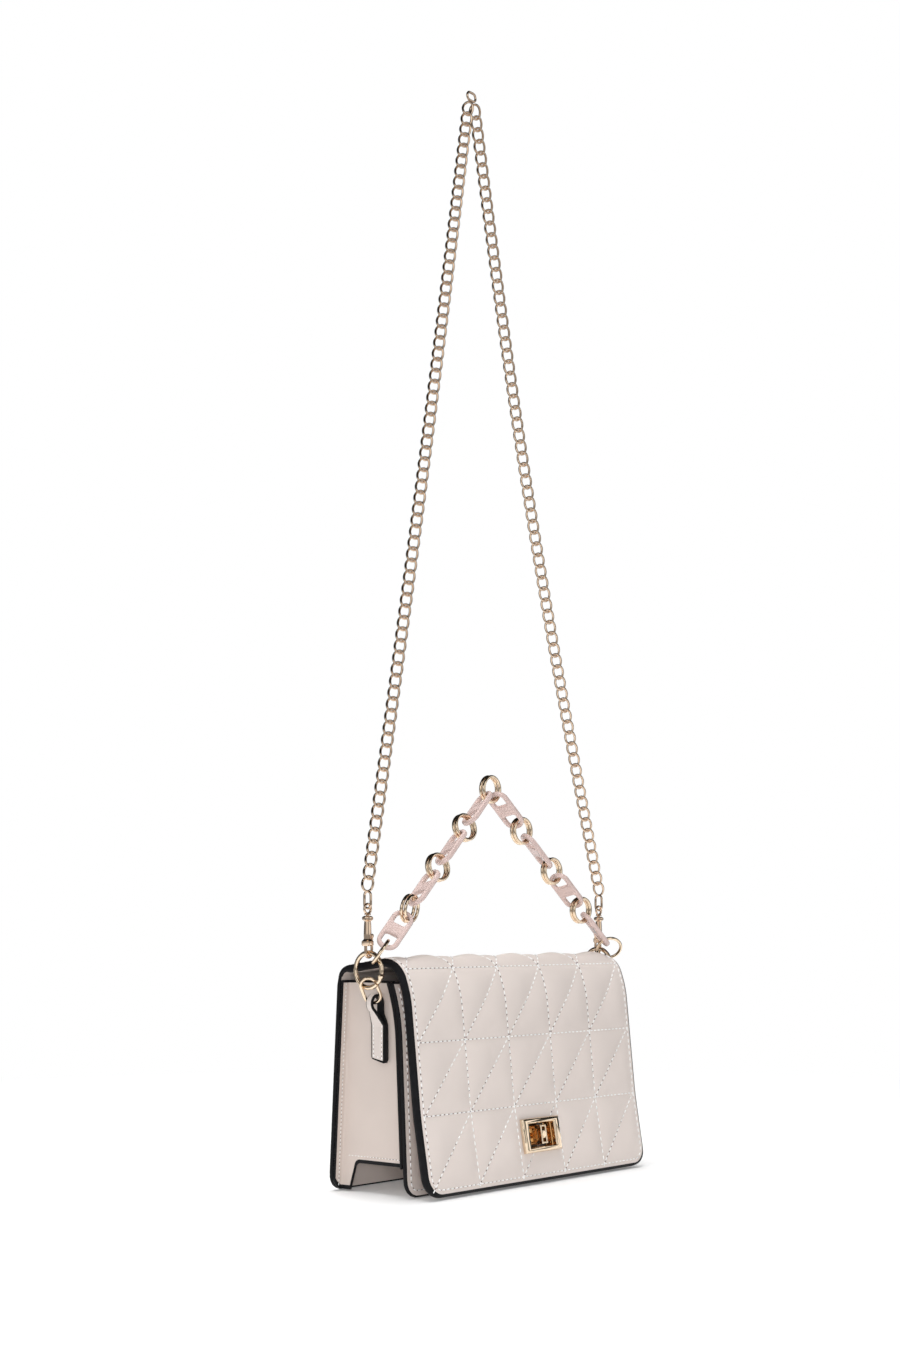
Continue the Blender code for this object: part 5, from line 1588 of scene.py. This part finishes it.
def along_line(line, run, lift, tree=None):
    """A seam in widths and lengths, followed closely over the line's bends, as 3-D points on the leather."""
    points = []
    for (x0, s0), (x1, s1) in zip(run[:-1], run[1:]):
        steps = max(2, int(math.hypot(x1 - x0, s1 - s0) / 0.0015))
        for share in np.linspace(0, 1, steps, endpoint=False):
            points.append((x0 + (x1 - x0) * share, s0 + (s1 - s0) * share))
    points.append(run[-1])
    laid = []
    for x, s in points:
        spot = line.point(x, s, lift)
        if tree:
            out = Vector((0, *line.out(np.array(s))))
            hit = tree.ray_cast(Vector(spot) + out * 0.01, -out, 0.02)[0]
            spot = hit + out * lift if hit else spot
        laid.append((Vector(spot), s))
    return laid


def parted(laid, split):
    """A seam's points in two lists of runs: before and after the fold."""
    top, front, last = [], [], None
    for place, s in laid:
        group = top if s < split else front
        if group is not last:
            group.append([])
            last = group
        group[-1].append(place)
    return top, front


def clear_of_lock(runs):
    """The runs with the stretches under the turn lock's frame left out."""
    kept, half_height = [], 0.0112
    for run in runs:
        kept.append([])
        for place in run:
            if abs(place.x) > LOCK_HALF_WIDTH or abs(place.z - LOCK_HEIGHT) > half_height:
                kept[-1].append(place)
            else:
                kept.append([])
    return kept


def sewn(name, runs, sizes, share=1.0):
    """The thread along the runs and the dark beads of painted shade in the holes between its stitches, as one
    piece.
    """
    runs = [run for run in runs if len(run) > 1]
    pitch, needle = sizes.stitch_pitch * share, sizes.needle * share
    half, radius = sizes.stitch / 2 * share, sizes.thread * share
    lines = stitches(guide(name, runs), pitch, 0.0, half, radius, "sewing thread")
    # The holes' beads are painted shade: dark matt beads between the stitches
    holes = stitches(guide("holes", runs), pitch, pitch / 2, needle, needle * 0.75, "needle holes")
    made = joined(name, [lines, holes])
    made.data.shade_smooth()
    return made


def panel_seam(line, width, sizes, cornered):
    """The stitching round a panel, from its plain end along one side, round the other end and back."""
    inset, lift, plain_end = sizes.edge_seam, 0.00035, 0.002
    x, radius, far = width / 2 - inset, PANEL_CORNER - inset, line.length
    turns = np.linspace(0, math.pi / 2, 7)
    corner = [(-x + radius * (1 - math.cos(a)), inset + radius * (1 - math.sin(a))) for a in turns]
    run = [(-x, far - plain_end), *corner]
    if cornered == "end":
        run = [(-x, inset), *((a, far - b) for a, b in corner)]
    run += [(-a, b) for a, b in reversed(run)]
    return [place for place, _ in along_line(line, run, lift)]


def gusset_seams(side, sizes):
    """The stitching up both edges of a gusset and along its hem."""
    lift, top, hem, bow = GUSSET_THICKNESS + 0.0001, 0.129, 0.0222, 0.0012 * 0.46
    runs = []
    for foot, share in ((0.004, 0.955), (0.0215, 0.045)):
        runs.append([(z, share, lift) for z in np.linspace(foot, top, 50)])
    shares = np.linspace(0.07, 0.80, 60)
    runs.append([(hem, share, lift - bow * math.sin(math.pi * share) ** 2) for share in shares])
    seams = []
    for run in runs:
        spots = [(*on_section(gusset_section(z, sizes), share, out), z) for z, share, out in run]
        seams.append([(side * x, y, z) for x, y, z in spots])
    return seams


def tab_seams(side):
    """The stitching down both edges of a tab and across its foot."""
    face, y = side * (GUSSET_FACE + GAP + 2 * TAB_LAYER + 0.00015), RING_CENTRE[1]
    return [
        [(face, y - 0.0031, z) for z in np.linspace(0.0842, 0.1035, 20)],
        [(face, y + 0.0036, z) for z in np.linspace(0.0855, 0.1035, 20)],
        [(face, y + a, 0.0848 + a * 0.2) for a in np.linspace(-0.0032, 0.0034, 8)],
    ]


class BAG_OT_stitching(bpy.types.Operator):
    """Sews the quilting, the panels' edges, the gussets and the tabs"""

    bl_idname = "bag.stitching"
    bl_label = "Stitching"

    def execute(self, context):
        sizes = context.scene.bag_sizes
        quilt, lift = Quilt(sizes), 0.00014
        tree = leather_tree("quilted_flap")
        split = quilt.line.where(FOLD_SPLIT_HEIGHT)
        top_runs, front_runs, side_runs = [], [], []
        for run in [*quilt.seams(), quilt.edge_run()]:
            over, down = parted(along_line(quilt.line, run, lift, tree), split)
            top_runs += over
            front_runs += down
        top_runs.append(panel_seam(back_line(), sizes.width, sizes, cornered="start"))
        top_runs.append(panel_seam(front_line(), sizes.width - FRONT_NARROWER, sizes, cornered="end"))
        for _, side in SIDES:
            side_runs += gusset_seams(side, sizes) + tab_seams(side)
        for made, body in (
            (sewn("flap_stitches", clear_of_lock(front_runs), sizes), "flap"),
            (sewn("bag_stitches", top_runs, sizes), "bag"),
            (sewn("side_stitches", side_runs, sizes, share=0.6), "bag"),
        ):
            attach(made, body)
        return {"FINISHED"}


# Stage


def studio_white(name, glow, albedo):
    """A white floor that takes shadows near the bag and runs out into plain white."""
    nodes = Nodes(name)
    nodes.tree.nodes.remove(nodes.shader)
    out = nodes.tree.nodes["Material Output"]
    diffuse = nodes.add("ShaderNodeBsdfDiffuse", {"Color": (albedo, albedo, albedo, 1)})
    path = nodes.add("ShaderNodeLightPath").outputs
    near = nodes.add("ShaderNodeEmission", {"Strength": nodes.span(path["Is Camera Ray"], 0.05, glow)})
    both = nodes.add("ShaderNodeAddShader", {0: diffuse.outputs[0], 1: near.outputs[0]})
    others = nodes.span(path["Is Glossy Ray"], 0.55, 0.3)
    far = nodes.add("ShaderNodeEmission", {"Strength": nodes.math("MAXIMUM", path["Is Camera Ray"], others)})
    away = nodes.add("ShaderNodeVectorMath", {0: nodes.place}, operation="LENGTH").outputs["Value"]
    share = nodes.add("ShaderNodeMapRange", {"Value": away, "From Min": 0.30, "From Max": 0.95})
    mixed = nodes.add("ShaderNodeMixShader", {0: share.outputs[0], 1: both.outputs[0], 2: far.outputs[0]})
    nodes.feed(out, "Surface", mixed.outputs[0])
    return nodes.material


# What polished metal sees: for each direction, levels from one side of the room to the other
REFLECTIONS = (
    ((0, 0, 1), ((0.66, 1.0), (0.74, 0.03))),
    ((0.768, 0.64, 0), (
        (0.10, 0.80), (0.20, 1.2), (0.38, 0.95), (0.44, 0.12), (0.49, 0.12), (0.54, 1.1), (0.66, 1.05),
        (0.70, 0.04), (0.95, 0.04), (1.0, 0.22),
    )),
    ((0.64, -0.768, 0), ((0.12, 0.25), (0.25, 1.0), (0.62, 1.0), (0.70, 0.25), (0.80, 0.25), (0.90, 1.0))),
)


def studio_world(name):
    """White to the camera, even light on cloth and leather, and a dark ceiling for polished metal to show."""
    world = bpy.data.worlds.new(name)
    world.use_nodes = True
    nodes = Graph(world.node_tree)
    path = nodes.add("ShaderNodeLightPath").outputs
    direction = nodes.add("ShaderNodeTexCoord").outputs["Generated"]
    cards = 1.0
    for axis, stops in REFLECTIONS:
        along = nodes.add("ShaderNodeVectorMath", {0: direction, 1: axis}, operation="DOT_PRODUCT")
        half = nodes.add("ShaderNodeMapRange", {"Value": along.outputs["Value"], "From Min": -1.0})
        ramp = nodes.add("ShaderNodeValToRGB", {"Fac": half.outputs[0]})
        ends = ramp.color_ramp.elements
        while len(ends) < len(stops):
            ends.new(0.5)
        for stop, (place, level) in zip(ends, stops):
            stop.position = place
            stop.color = (level, level, level, 1)
        cards = nodes.math("MULTIPLY", ramp.outputs["Color"], cards)
    polished = nodes.span(path["Is Glossy Ray"], 0.55, cards)
    seen = nodes.math("MAXIMUM", path["Is Camera Ray"], path["Is Transmission Ray"])
    back = world.node_tree.nodes["Background"]
    nodes.feed(back, "Color", (1, 1, 1, 1))
    nodes.feed(back, "Strength", nodes.span(seen, polished, 1.0))
    return world


def lamp(name, place, target, size, power):
    data = bpy.data.lights.new(name, "AREA")
    data.shape = "DISK"
    data.size = size
    data.energy = power
    obj = shown(name, data)
    obj.location = place
    obj.rotation_euler = (Vector(target) - Vector(place)).to_track_quat("-Z", "Y").to_euler()
    return obj


class BAG_OT_stage(bpy.types.Operator):
    """Makes the floor, the lights, the world and the camera"""

    bl_idname = "bag.stage"
    bl_label = "Stage"

    def execute(self, context):
        scene = context.scene
        self.floor()
        scene.world = studio_world("studio")
        target = (0, 0, 0.08)
        lamp("key", (-0.7, -1.5, 1.3), target, 1.0, 3.0)
        lamp("side", (-1.7, 0.1, 0.8), target, 0.9, 1.8)
        hidden = [
            lamp("rim", (0.6, 1.4, 1.3), target, 0.9, 8),
            lamp("above", (-0.1, 0.1, 1.9), target, 1.2, 25),
            lamp("low fill", (-1.12, -0.90, 0.10), (-0.08, 0, 0.05), 0.5, 6.4),
        ]
        for light in hidden:
            light.visible_glossy = False
        scene.camera = self.camera()
        scene.view_settings.view_transform = "Standard"
        return {"FINISHED"}

    def floor(self):
        reach = 30.0
        corners = [(-reach, -reach, 0), (reach, -reach, 0), (reach, reach, 0), (-reach, reach, 0)]
        mesh = bpy.data.meshes.new("floor")
        mesh.from_pydata(corners, [], [(0, 1, 2, 3)])
        mesh.materials.append(studio_white("floor white", 0.12, 0.80))
        floor = shown("floor", mesh)
        floor.location.z = -0.0003
        return floor

    def camera(self):
        """The level camera that was solved from the photograph's corners."""
        data = bpy.data.cameras.new("camera")
        data.sensor_width = 36
        data.lens = 52.2
        data.shift_y = 0.1833
        data.clip_start = 0.01
        eye = shown("camera", data)
        eye.location = (-1.0055, -0.7993, 0.1673)
        eye.rotation_euler = (math.radians(90), 0, math.radians(-50.2))
        return eye


OPERATORS = (
    BAG_OT_quilted_flap, BAG_OT_panels, BAG_OT_gussets, BAG_OT_lining, BAG_OT_tabs, BAG_OT_rings,
    BAG_OT_clasps, BAG_OT_chain, BAG_OT_handle, BAG_OT_lock, BAG_OT_stitching, BAG_OT_stage,
)


class BAG_PT_builder(bpy.types.Panel):
    """Lists the bag's pieces"""

    bl_idname = "BAG_PT_builder"
    bl_label = "Crossbody Bag"
    bl_space_type = "VIEW_3D"
    bl_region_type = "UI"
    bl_category = "Bag"

    def draw(self, context):
        column = self.layout.column()
        for operator in OPERATORS:
            column.operator(operator.bl_idname)


CLASSES = (BagSizes, HardwareSizes, BagColours, *OPERATORS, BAG_PT_builder)


def register():
    for item in CLASSES:
        bpy.utils.register_class(item)
    bpy.types.Scene.bag_sizes = PointerProperty(type=BagSizes)
    bpy.types.Scene.bag_hardware = PointerProperty(type=HardwareSizes)
    bpy.types.Scene.bag_colours = PointerProperty(type=BagColours)


def unregister():
    del bpy.types.Scene.bag_colours
    del bpy.types.Scene.bag_hardware
    del bpy.types.Scene.bag_sizes
    for item in reversed(CLASSES):
        bpy.utils.unregister_class(item)


def main():
    register()
    bpy.ops.bag.stage()
    bpy.ops.bag.quilted_flap()
    bpy.ops.bag.panels()
    bpy.ops.bag.gussets()
    bpy.ops.bag.lining()
    bpy.ops.bag.tabs()
    bpy.ops.bag.rings()
    bpy.ops.bag.clasps()
    bpy.ops.bag.chain()
    bpy.ops.bag.handle()
    bpy.ops.bag.lock()
    bpy.ops.bag.stitching()


if __name__ == "__main__":
    main()
